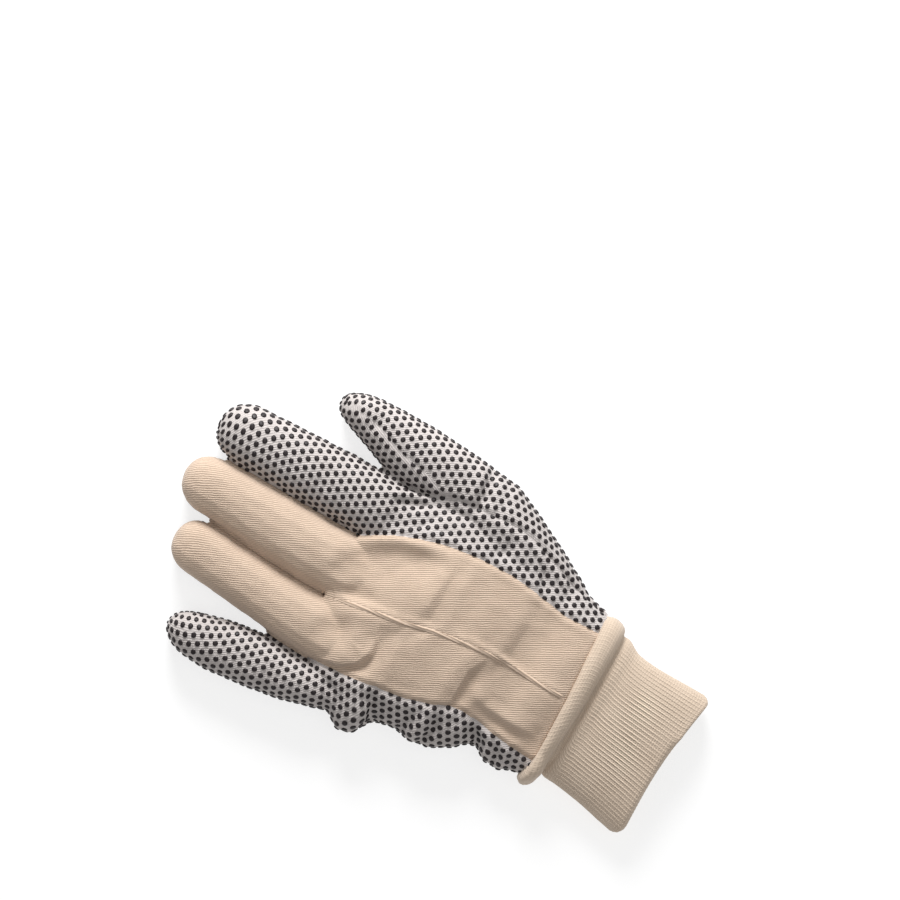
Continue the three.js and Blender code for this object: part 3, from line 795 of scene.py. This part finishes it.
def lay_dots(name, panel, flat):
    """Grip dots on a panel: a hexagonal lattice on the flat pattern, carried back on to the folded cloth."""
    points, triangles = arrays(panel.data)
    normal = normals_of(points, triangles)
    flat_points = np.concatenate([flat.reshape(-1, 2), np.zeros((flat.shape[0] * 3, 1))], 1)
    tree = tree_of(flat_points, np.arange(len(flat_points)).reshape(-1, 3))
    down = Vector((0, 0, -1))

    def carried(u, v, strict=False):
        """A place on the pattern carried on to the cloth. Past the pattern's edge it is held at the edge."""
        hit, _, face, _ = tree.ray_cast(Vector((u, v, 1)), down)
        if hit is None:
            if strict:
                return None
            hit, _, face, _ = tree.find_nearest(Vector((u, v, 0)))
        a, b, c = flat[face]
        (p, q), (r, t) = b - a, c - a
        x, y = hit[0] - a[0], hit[1] - a[1]
        scale = p * t - q * r
        second, third = (x * t - y * r) / scale, (y * p - x * q) / scale
        corner = triangles[face]
        weights = np.array([1 - second - third, second, third])
        return weights @ points[corner], weights @ normal[corner]

    low, high = flat.reshape(-1, 2).min(0), flat.reshape(-1, 2).max(0)
    row_pitch = DOT_PITCH * math.sqrt(3) / 2
    verts, faces = [], []
    angles = [2 * math.pi * k / DOT_SIDES for k in range(DOT_SIDES)]
    rows = int((high[1] - low[1]) / row_pitch) + 1
    columns = int((high[0] - low[0]) / DOT_PITCH) + 2
    for row in range(rows):
        v = low[1] + row * row_pitch
        for column in range(columns):
            u = low[0] + (column + 0.5 * (row % 2)) * DOT_PITCH
            rim = [carried(u + DOT_HOLD * math.cos(a), v + DOT_HOLD * math.sin(a), True) for a in angles[::3]]
            if any(place is None for place in rim):
                continue
            start = len(verts)
            placed = []
            for share, height in DOT_PROFILE[:-1]:
                for angle in angles:
                    reach = share * DOT_RADIUS
                    place, out = carried(u + reach * math.cos(angle), v + reach * math.sin(angle))
                    placed.append(place + height * out)
            place, out = carried(u, v)
            if np.linalg.norm(np.array(placed) - place, axis=1).max() > DOT_STRETCH * DOT_RADIUS:
                continue
            placed.append(place + DOT_PROFILE[-1][1] * out)
            verts += placed
            top = start + len(placed) - 1
            inner = top - DOT_SIDES
            for k in range(DOT_SIDES):
                after = (k + 1) % DOT_SIDES
                for a in range(start, inner, DOT_SIDES):
                    b = a + DOT_SIDES
                    faces.append((a + k, a + after, b + after, b + k))
                faces.append((inner + k, inner + after, top))
    verts = np.array(verts)
    verts[:, 2] = np.maximum(verts[:, 2], CLEARANCE)
    dots = make_object(name, verts, faces)
    shade_smooth(dots)
    return dots


def shade_smooth(obj):
    obj.data.polygons.foreach_set("use_smooth", np.ones(len(obj.data.polygons), bool))


def thickened(obj, wall):
    """Gives a skin its cloth's thickness, inwards, with crisp cut edges."""
    solidify = obj.modifiers.new("cloth", "SOLIDIFY")
    solidify.thickness = wall * MM
    solidify.offset = -1
    solidify.use_even_offset = False
    apply_modifiers(obj)
    obj.data.set_sharp_from_angle(angle=CUT_EDGE_ANGLE)


def knit_section(tree, middle, angle, y):
    """Where the knit's outer surface lies at an angle round its middle and at y, or None past its end."""
    outward = Vector((math.cos(angle), 0, math.sin(angle)))
    start = Vector((middle, y, KNIT_MIDDLE_HEIGHT)) + KNIT_REACH * outward
    return tree.ray_cast(start, -outward, KNIT_REACH)[0]


def knit_limit(tree, middle, angle, within, beyond):
    """How far along the knit its solid reaches at an angle, between a y within it and one beyond it."""
    for _ in range(KNIT_HALVINGS):
        y = 0.5 * (within + beyond)
        if knit_section(tree, middle, angle, y) is None:
            beyond = y
        else:
            within = y
    return within


def evened(limits, side):
    """An end of the tube as a smooth curve round it that never passes the solid's own end."""
    smooth = limits.copy()
    for _ in range(END_SMOOTHING):
        smooth = 0.5 * smooth + 0.25 * (np.roll(smooth, 1) + np.roll(smooth, -1))
    return side * np.minimum(side * smooth, side * limits) - END_INSET * side


def rounded_corner(x, radius):
    """How far an end of the flat tube draws back towards its sides, so that its corners are round."""
    past = np.clip(radius - np.minimum(x.max() - x, x - x.min()), 0, radius)
    return radius - np.sqrt(radius**2 - past**2)


def knit_grid():
    """The knit's outer surface as a smooth grid of rings from the wrist seam to its end."""
    tree = tree_of(KNIT_POINTS, KNIT_TRIANGLES)
    angles = [2 * math.pi * k / KNIT_TURNS for k in range(KNIT_TURNS)]
    inner_y = -0.5 * KNIT_REACH
    tops = evened(np.array([knit_limit(tree, WRIST_MIDDLE, a, inner_y, KNIT_REACH) for a in angles]), 1)
    hems = evened(np.array([knit_limit(tree, HEM_MIDDLE, a, inner_y, -KNIT_REACH) for a in angles]), -1)
    rings = int((tops - hems).mean() / KNIT_ROW)
    grid = np.empty((rings + 1, KNIT_TURNS, 3))
    for i in range(rings + 1):
        share = i / rings
        middle = WRIST_MIDDLE + share * (HEM_MIDDLE - WRIST_MIDDLE)
        for k, angle in enumerate(angles):
            grid[i, k] = knit_section(tree, middle, angle, (1 - share) * tops[k] + share * hems[k])
    for _ in range(KNIT_SMOOTHING):
        for weight in (0.5, -0.51):
            grid += weight * (0.5 * (np.roll(grid, 1, 1) + np.roll(grid, -1, 1)) - grid)
    grid = eased_line(grid, 2)
    share = np.linspace(0, 1, rings + 1)[:, None]
    lobe = np.clip((LOBE_START - grid[0, :, 0]) / LOBE_LENGTH, 0, 1)
    rise = LOBE_RISE * lobe - rounded_corner(grid[0, :, 0], ROLL_CORNER)
    grid[:, :, 1] += (1 - share) ** END_POWER * rise
    grid[:, :, 1] += share**END_POWER * (rounded_corner(grid[-1, :, 0], HEM_CORNER) - HEM_OVERRUN)
    return grid


def evenly_round(ring, count):
    """A closed ring resampled at even steps, from its place above the middle."""
    closed = np.concatenate([ring, ring[:1]])
    return resampled(closed, lambda length: np.linspace(0, length, count, endpoint=False))[0]


def knit_form(outer, from_top, from_crease):
    """How far the knit stands out of its smooth tube at its roll, its crease and its turned-in top."""
    lobe = np.clip((LOBE_SIDE_START - outer[:, :, 0]) / LOBE_LENGTH, 0, 1)
    form = ROLL_SWELL * bell(from_crease - ROLL_HALF_LENGTH, ROLL_HALF_LENGTH)
    form += LOBE_SWELL * lobe * bell(from_crease - LOBE_HALF_LENGTH, LOBE_HALF_LENGTH)
    form += SHOULDER_SWELL * bell(from_crease + SHOULDER_HALF_LENGTH, SHOULDER_HALF_LENGTH)
    form -= CREASE_DEPTH * bell(from_crease, CREASE_WIDTH)
    form -= TURN_IN * bell(from_top, TURN_IN_REACH)
    return form


def knit_ribs(outer, from_hem, from_crease):
    """The ribs' wave round the tube and how deep it is."""
    phase = 2 * math.pi * np.arange(outer.shape[1]) / RIB_STEPS
    phase = phase + RIB_WANDER * noise_at(outer, RIB_WANDER_LENGTH, "wander", RIB_WANDER_STRETCH)
    wave = np.cos(phase) + RIB_ROUNDNESS * np.cos(2 * phase)
    below_roll = np.clip(0.5 - from_crease / RIB_FADE, 0, 1)
    depth = RIB_DEPTH * (ROLL_RIB_SHARE + (1 - ROLL_RIB_SHARE) * below_roll)
    depth *= 1 + RIB_UNEVENNESS * noise_at(outer, RIB_UNEVEN_LENGTH, "rib")
    depth *= 1 - HEM_RIB_LOSS * bell(from_hem, HEM_RIB_REACH)
    return wave, depth


def knit_lip(edge, normal, along):
    """The rings that turn the tube's end round into its inner layer."""
    direction = along / np.linalg.norm(along, axis=1, keepdims=True)
    rings = []
    for i in range(1, LIP_STEPS):
        angle = math.pi * i / LIP_STEPS
        inward = 0.5 * KNIT_WALL * (1 - math.cos(angle))
        onward = 0.5 * KNIT_WALL * math.sin(angle)
        rings.append(edge - inward * normal + onward * direction)
    return np.array(rings)


def knit_tube():
    """The ribbed knit: its outside, round its hem and back up inside as a second layer."""
    grid = knit_grid()
    ribs = int(round(np.linalg.norm(np.diff(grid[len(grid) // 2], axis=0), axis=1).sum() / RIB_PITCH))
    count = ribs * RIB_STEPS
    outer = np.stack([evenly_round(ring, count) for ring in grid])
    around = np.roll(outer, -1, 1) - np.roll(outer, 1, 1)
    along = np.gradient(outer, axis=0)
    normal = np.cross(along, around)
    normal /= np.linalg.norm(normal, axis=2, keepdims=True)
    if (normal[:, :, 2] * (outer[:, :, 2] - KNIT_MIDDLE_HEIGHT)).sum() < 0:
        normal = -normal
    from_top = (np.arange(len(outer)) * KNIT_ROW)[:, None]
    from_crease = outer[:, :, 1] - np.interp(outer[:, :, 0], *np.array(ROLL_CREASE).T)
    wave, depth = knit_ribs(outer, from_top[::-1], from_crease)
    form = knit_form(outer, from_top, from_crease)
    outside = outer + normal * (form + 0.5 * depth * wave)[:, :, None]
    lip = knit_lip(outside[-1], normal[-1], along[-1])
    inside = (outer - normal * KNIT_WALL + normal * RIB_DEPTH * RIB_SHARE_INSIDE * wave[:, :, None])[::-1]
    rings = np.concatenate([outside, lip, inside])
    rings[:, :, 2] = np.maximum(rings[:, :, 2], CLEARANCE)
    index = np.arange(len(rings) * count).reshape(len(rings), count)
    after = np.roll(index, -1, 1)
    faces = np.stack([index[:-1], index[1:], after[1:], after[:-1]], 2).reshape(-1, 4)
    cuff = make_object("ribbed_cuff", rings.reshape(-1, 3), faces)

    def coordinates(corners):
        """Round the tube and along it. The last rib's far side has its own U, past the seam of the map."""
        place = corners % count
        past_seam = (place == 0) & (np.repeat(place[::4], 4) != 0)
        return np.where(past_seam, count, place) * RIB_PITCH / RIB_STEPS, corners // count * KNIT_ROW

    lay_cloth_uv(cuff, coordinates)
    shade_smooth(cuff)
    return cuff


class Graph:
    """Short words for a material's nodes."""

    def __init__(self, name):
        self.material = bpy.data.materials.new(name)
        self.material.use_nodes = True
        self.nodes = self.material.node_tree.nodes
        self.links = self.material.node_tree.links
        self.shader = self.nodes["Principled BSDF"]

    def put(self, socket, value):
        if isinstance(value, bpy.types.NodeSocket):
            self.links.new(value, socket)
        else:
            socket.default_value = value

    def shade(self, values):
        """Sets the shader's inputs by their names."""
        for name, value in values.items():
            self.put(self.shader.inputs[name], value)

    def math(self, operation, a, b=0.0, c=0.0):
        node = self.nodes.new("ShaderNodeMath")
        node.operation = operation
        for socket, value in zip(node.inputs, (a, b, c)):
            self.put(socket, value)
        return node.outputs[0]

    def plus(self, total, value, share):
        return self.math("ADD", total, self.math("MULTIPLY", value, share))

    def noise(self, vector, scale, detail=2.0, roughness=0.5):
        node = self.nodes.new("ShaderNodeTexNoise")
        self.put(node.inputs["Vector"], vector)
        node.inputs["Scale"].default_value = scale
        node.inputs["Detail"].default_value = detail
        node.inputs["Roughness"].default_value = roughness
        return node.outputs["Fac"]

    def mix(self, share, a, b):
        node = self.nodes.new("ShaderNodeMix")
        node.data_type = "RGBA"
        self.put(node.inputs[0], share)
        self.put(node.inputs[6], a)
        self.put(node.inputs[7], b)
        return node.outputs[2]

    def ramp(self, value, low, high):
        node = self.nodes.new("ShaderNodeMapRange")
        node.clamp = True
        self.put(node.inputs[0], value)
        node.inputs[1].default_value = low
        node.inputs[2].default_value = high
        return node.outputs[0]

    def cloth_coordinates(self):
        node = self.nodes.new("ShaderNodeUVMap")
        node.uv_map = "cloth"
        split = self.nodes.new("ShaderNodeSeparateXYZ")
        self.links.new(node.outputs[0], split.inputs[0])
        return node.outputs[0], split.outputs[0], split.outputs[1]

    def wave(self, u, v, turn, pitch, phase=0.0):
        """A sine of period pitch across lines that lean turn degrees from V."""
        angle = math.radians(turn)
        across = self.math("ADD", self.math("MULTIPLY", u, math.cos(angle)),
                           self.math("MULTIPLY", v, math.sin(angle)))
        steps = self.math("MULTIPLY_ADD", across, 2 * math.pi / pitch, phase)
        return self.math("MULTIPLY_ADD", self.math("SINE", steps), 0.5, 0.5)

    def bump(self, height, strength, distance):
        node = self.nodes.new("ShaderNodeBump")
        node.inputs["Strength"].default_value = strength
        node.inputs["Distance"].default_value = distance * MM
        self.put(node.inputs["Height"], height)
        self.links.new(node.outputs[0], self.shader.inputs["Normal"])


# The twill's lean in degrees, its pitch and the pitch of the yarns across it
TWILL_LEAN = 28
TWILL_PITCH = 1.05
YARN_PITCH = 0.55
STITCH_PITCH = 1.15


def drill_material(name, pale, dark, painted_twill_shade_strength):
    """Cotton drill: fine twill lines painted darker in their valleys as painted shade, uneven yarns and a
    soft unevenness of tone.
    """
    g = Graph(name)
    uv, u, v = g.cloth_coordinates()
    wobble = g.math("MULTIPLY", g.noise(uv, 0.3, 1), 0.9)
    twill = g.wave(g.math("ADD", u, wobble), v, TWILL_LEAN, TWILL_PITCH)
    yarn = g.wave(u, v, 90, YARN_PITCH)
    slub = g.noise(uv, 1.3, 3, 0.6)
    mottle = g.noise(uv, 0.045, 3, 0.55)
    # Painted shade: the twill's colour lines are darker just where the twill's bump sinks, in the weave's
    # valleys
    lines = g.math("MULTIPLY", g.ramp(twill, 0.15, 0.85), painted_twill_shade_strength)
    # The colour adds the yarns' slubs and a broad random mottle, the cloth's own uneven tone, to that painted
    # twill shade
    shade = g.plus(g.plus(lines, slub, 0.45), mottle, 0.35)
    g.shade({
        "Base Color": g.mix(g.ramp(shade, 0.25, 1.05), dark, pale),
        "Roughness": 0.92,
        "Sheen Weight": 0.18,
        "Sheen Roughness": 0.5,
        "Specular IOR Level": 0.2,
    })
    g.bump(g.plus(g.plus(twill, yarn, 0.3), slub, 0.7), 0.8, 0.2)
    return g.material


def dot_material():
    """Black vinyl: satin, with a fine unevenness."""
    g = Graph("grip_dots")
    coordinates = g.nodes.new("ShaderNodeTexCoord").outputs["Object"]
    speck = g.noise(coordinates, 900, 2)
    g.shade({
        "Base Color": g.mix(speck, (0.012, 0.008, 0.009, 1), (0.026, 0.019, 0.02, 1)),
        "Roughness": g.math("MULTIPLY_ADD", speck, 0.2, 0.36),
        "Specular IOR Level": 0.3,
    })
    g.bump(g.noise(coordinates, 1600, 2), 0.25, 0.08)
    return g.material


def knit_material():
    """Cotton rib knit: columns of small stitches along the ribs, painted darker between the columns and
    between the stitches as painted shade.
    """
    g = Graph("cotton_knit")
    uv, u, v = g.cloth_coordinates()
    column = g.math("ABSOLUTE", g.math("SINE", g.math("MULTIPLY", u, math.pi / (RIB_PITCH / 2))))
    stitch = g.wave(g.plus(v, column, 0.5), u, 0, STITCH_PITCH)
    fuzz = g.noise(uv, 1.6, 3, 0.6)
    mottle = g.noise(uv, 0.06, 2)
    # Painted shade: the colour darkens where the stitch columns and the stitches sink, as the bump does; the
    # fuzz and the mottle are the yarn's own uneven tone
    shade = g.plus(g.plus(g.plus(g.math("MULTIPLY", column, 0.25), stitch, 0.25), fuzz, 0.4), mottle, 0.3)
    g.shade({
        "Base Color": g.mix(g.ramp(shade, 0.25, 1.0), (0.47, 0.37, 0.28, 1), (0.7, 0.575, 0.46, 1)),
        "Roughness": 0.95,
        "Sheen Weight": 0.25,
        "Sheen Roughness": 0.5,
        "Specular IOR Level": 0.15,
    })
    g.bump(g.plus(g.plus(g.math("MULTIPLY", stitch, 0.6), column, 0.5), fuzz, 0.5), 0.6, 0.22)
    return g.material


# The camera looks straight down. A photograph pixel is 0.487 mm on the glove, which leans 29 degrees.
CAMERA_TARGET = (76.9, 109.4)
CAMERA_HEIGHT = 1500.0
VIEW_WIDTH = 438.3
VIEW_LEVEL = 14.0
GLOVE_LEAN = math.radians(29)
SENSOR = 36.0


def add_camera():
    camera = bpy.data.cameras.new("camera")
    camera.sensor_width = SENSOR
    camera.lens = SENSOR * (CAMERA_HEIGHT - VIEW_LEVEL) / VIEW_WIDTH
    camera.clip_end = 10
    obj = linked("camera", camera)
    obj.location = Vector((*CAMERA_TARGET, CAMERA_HEIGHT)) * MM
    up = Vector((math.cos(GLOVE_LEAN), math.sin(GLOVE_LEAN), 0))
    obj.rotation_euler = (0, 0, math.atan2(up.y, up.x) - math.pi / 2)
    bpy.context.scene.camera = obj


# Each light's place in metres, its size and its power, brightest from the thumb's side
LIGHTS = {"key": ((0.86, 0.6, 0.5), 0.5, 16.5), "fill": ((0.1, -0.3, 1.5), 1.4, 4)}
LIGHT_AIM = (0.02, 0.08, 0)
WORLD_LIGHT = 0.36
FLOOR_REACH = 3000.0
FLOOR_GLOW = 0.7


def add_light(name, place, size, power):
    light = bpy.data.lights.new(name, "AREA")
    light.shape = "SQUARE"
    light.size = size
    light.energy = power
    obj = linked(name, light)
    obj.location = place
    aim = Vector(LIGHT_AIM) - obj.location
    obj.rotation_euler = aim.to_track_quat("-Z", "Y").to_euler()


def add_stage():
    """A plain pale floor and soft studio light."""
    corners = FLOOR_REACH * np.array(((-1, -1, 0), (1, -1, 0), (1, 1, 0), (-1, 1, 0)))
    floor = make_object("floor", corners, np.array([(0, 1, 2, 3)]))
    g = Graph("floor")
    coordinates = g.nodes.new("ShaderNodeTexCoord").outputs["Object"]
    g.shade({
        "Base Color": g.mix(g.noise(coordinates, 8, 2), (0.38, 0.38, 0.38, 1), (0.4, 0.4, 0.4, 1)),
        "Roughness": 0.9,
        "Emission Color": (1, 1, 1, 1),
        "Emission Strength": FLOOR_GLOW,
    })
    floor.data.materials.append(g.material)
    for name, light in LIGHTS.items():
        add_light(name, *light)
    world = bpy.data.worlds.new("studio")
    world.use_nodes = True
    background = world.node_tree.nodes["Background"]
    background.inputs["Color"].default_value = (1, 1, 1, 1)
    background.inputs["Strength"].default_value = WORLD_LIGHT
    bpy.context.scene.world = world
    bpy.context.scene.view_settings.view_transform = "Standard"


# Lines of (x, y) from the root over the tip: the middle of two fingers, and the thumb's seam on its back
INDEX_LINE = ((34, 110), (34.5, 215))
LITTLE_LINE = ((-54, 105), (-58, 135), (-63, 165), (-66, 190))
THUMB_SEAM_LINE = ((55, 80), (58, 103), (62, 116), (64, 128), (70, 143), (73, 163), (74, 175))

# Where each slit starts as y, the x that bounds it on its finger's side, and the height at which it runs
INDEX_SLIT = {"start": 118, "side": 13, "height": 11.5}
LITTLE_SLIT = {"start": 104, "side": -38, "height": 10.5}
THUMB_SLIT = {"start": 80, "height": 9.5}


def line_at(line, y):
    """The x of a line of (x, y) at y."""
    route = np.array(line, float)
    return np.interp(y, route[:, 1], route[:, 0])


def edges_between(triangles, sign, inside):
    """The edges inside a region that part faces of either sign."""
    pairs = sides_of(triangles)
    owner = np.tile(np.arange(len(triangles)), 3)
    order = np.lexsort((pairs[:, 1], pairs[:, 0]))
    pairs, owner = pairs[order], owner[order]
    same = np.all(pairs[1:] == pairs[:-1], axis=1)
    first, second = owner[:-1][same], owner[1:][same]
    parted = (sign[first] != sign[second]) & inside[first] & inside[second]
    return pairs[:-1][same][parted]


def palm_slits(points, triangles):
    """The index and little fingers close on their inner sides, from the crotch to the tip."""
    x, y, z = points[triangles].mean(1).T
    index = (y > INDEX_SLIT["start"]) & (x > INDEX_SLIT["side"]) & (x < line_at(INDEX_LINE, y))
    little = (y > LITTLE_SLIT["start"]) & (x < LITTLE_SLIT["side"]) & (x > line_at(LITTLE_LINE, y))
    return np.concatenate([
        edges_between(triangles, z > INDEX_SLIT["height"], index),
        edges_between(triangles, z > LITTLE_SLIT["height"], little),
    ])


def thumb_slits(points, triangles):
    """The thumb's own seam runs along its back from its base to its tip."""
    x, y, z = points[triangles].mean(1).T
    inside = (z > THUMB_SLIT["height"]) & (y > THUMB_SLIT["start"])
    return edges_between(triangles, x > line_at(THUMB_SEAM_LINE, y), inside)


def no_slits(points, triangles):
    return np.empty((0, 2), int)


# The seam down the middle of the back, from the crotch of the fingers to the wrist
CENTRE_SEAM = ((-12.9, 126), (-12, 120), (-10, 108), (-8.5, 98), (-6, 88), (-4.5, 78), (-2.5, 68), (-1, 58),
               (0, 48), (0, 35), (-1, 25), (-1.5, WRIST_LINE(-1.5) - WELT_OVERLAP))


def build_skin():
    """The whole drill as one skin with its folds and seams, and the distances that tell its panels apart."""
    points, triangles, distances = drill_skin()
    edges = edges_of(triangles)
    points = smoothed(points, edges, SMOOTHING_ROUNDS)
    distances = smoothed(distances, edges, 3)
    points = smoothed(folded(points, triangles), edges, 1)
    points = closed_fingers(points, triangles, edges)
    seam_distance = distance_to_seams(points, edges, distances)
    points = sewn(points, triangles, seam_distance, distances)
    points = rested(tucked(untangled(points, triangles, edges), triangles))
    columns = np.concatenate([points, distances], 1)
    end = points[:, 1] - WRIST_LINE(points[:, 0]) + TUCK_LENGTH - TUCK_START
    return clipped(columns, triangles, end)


def build_panels(columns, triangles):
    panels = {}
    for k, name in enumerate(DRILL):
        others = np.delete(columns[:, 3:], k, 1).min(1)
        panel, faces = largest_piece(*clipped(columns, triangles, others - columns[:, 3 + k]))
        panels[name] = without_slivers(panel[:, :3], faces)
    return panels


def welt_line(columns, triangles):
    """The seam between the two back panels on the cloth, with the cloth's normal at each of its points."""
    tree = tree_of(columns[:, :3], triangles)
    margin = columns[:, 3 + DRILL.index(PLAIN[0])] - columns[:, 3 + DRILL.index(PLAIN[1])]

    def under(x, y):
        return tree.ray_cast(Vector((x, y, ABOVE)), Vector((0, 0, -1)))

    line, along = resampled(np.array(CENTRE_SEAM, float), lambda length: np.arange(0, length, WELT_STEP))
    centre = []
    for x, y in eased_line(line, WELT_LAST_EASING):
        hits = [under(x + d, y) for d in WELT_SEARCH]
        places = np.array([hit[0] for hit in hits])
        corners = triangles[[hit[2] for hit in hits]]
        sides = (shares_of(places, columns[corners, :3]) * margin[corners]).sum(1)
        centre.append(places[np.abs(sides).argmin()])
    centre = eased_line(np.array(centre), WELT_EASING)
    up = np.empty_like(centre)
    for k, (x, y, _) in enumerate(centre):
        centre[k], up[k] = under(x, y)[:2]
    return along, eased_line(centre, WELT_LAST_EASING), eased_line(up, WELT_LAST_EASING)


def welt(columns, triangles):
    """The raised seam down the middle of the back: a puckered half round laid along it."""
    along, centre, up = welt_line(columns, triangles)
    across = np.cross(np.gradient(centre, axis=0), up)
    across /= np.linalg.norm(across, axis=1, keepdims=True)
    ends = np.minimum(along / WELT_FADE, (along[-1] - along) / WELT_END_FADE)
    ends = np.clip(ends, WELT_LEAST, 1)
    places = np.stack([along, along * 0, along * 0], 1)
    pucker = 1 + WELT_PUCKER * noise_at(places, WELT_PUCKER_LENGTH, "welt")
    lean = WELT_LEAN * np.sin(along * 2 * math.pi / WELT_LEAN_LENGTH)
    shape = []
    for angle in np.linspace(-WELT_SKIRT, math.pi + WELT_SKIRT, WELT_SIDES):
        rise = max(math.sin(angle), 0)
        width = WELT_HALF_WIDTH * (np.cos(angle) + lean * rise) * ends**0.5
        height = WELT_HEIGHT * rise**WELT_ROUNDNESS * ends * pucker - WELT_SUNK
        shape.append(centre + width[:, None] * across + height[:, None] * up)
    rings = np.stack(shape, 1)
    index = np.arange(len(along) * WELT_SIDES).reshape(len(along), WELT_SIDES)
    faces = np.stack([index[:-1, :-1], index[:-1, 1:], index[1:, 1:], index[1:, :-1]], 2).reshape(-1, 4)
    strip = make_object("centre_seam_welt", rings.reshape(-1, 3), faces)
    lay_cloth_uv(strip, lambda corners: (corners % WELT_SIDES * WELT_SIDE_STEP,
                                         corners // WELT_SIDES * WELT_STEP * WELT_TWILL_SHARE))
    shade_smooth(strip)
    return strip


# Colours of the drill, pale and dark, and how strongly the painted shade in its twill lines' valleys shows
PLAIN_LOOK = ((0.7, 0.55, 0.43, 1), (0.39, 0.285, 0.21, 1), 0.62)
DOTTED_LOOK = ((0.74, 0.69, 0.665, 1), (0.44, 0.4, 0.385, 1), 0.24)


def dress_drill():
    plain = drill_material("plain_drill", *PLAIN_LOOK)
    dotted = drill_material("dotted_cotton", *DOTTED_LOOK)
    vinyl = dot_material()
    slits = {"palm_panel": palm_slits, "thumb": thumb_slits}
    skin = build_skin()
    for name, (points, faces) in build_panels(*skin).items():
        panel = lightened(make_object("cloth_" + name, points, faces), MOST_FACES)
        flat = flattened(panel, slits.get(name, no_slits), PATTERN_FACES[name])
        shade_smooth(panel)
        panel.data.materials.append(dotted if name in DOTTED else plain)
        if name in DOTTED:
            dots = lay_dots(name + "_dots", panel, flat)
            dots.data.materials.append(vinyl)
            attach(dots, "root")
        thickened(panel, CLOTH)
        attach(panel, "root")
        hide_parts(name)
    strip = welt(*skin)
    strip.data.materials.append(plain)
    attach(strip, "root")
    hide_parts("back_panel_thumb_side")


def dress_knit():
    cuff = knit_tube()
    cuff.data.materials.append(knit_material())
    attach(cuff, "root")
    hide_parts("knit_cuff")


add_camera()
add_stage()
dress_drill()
dress_knit()
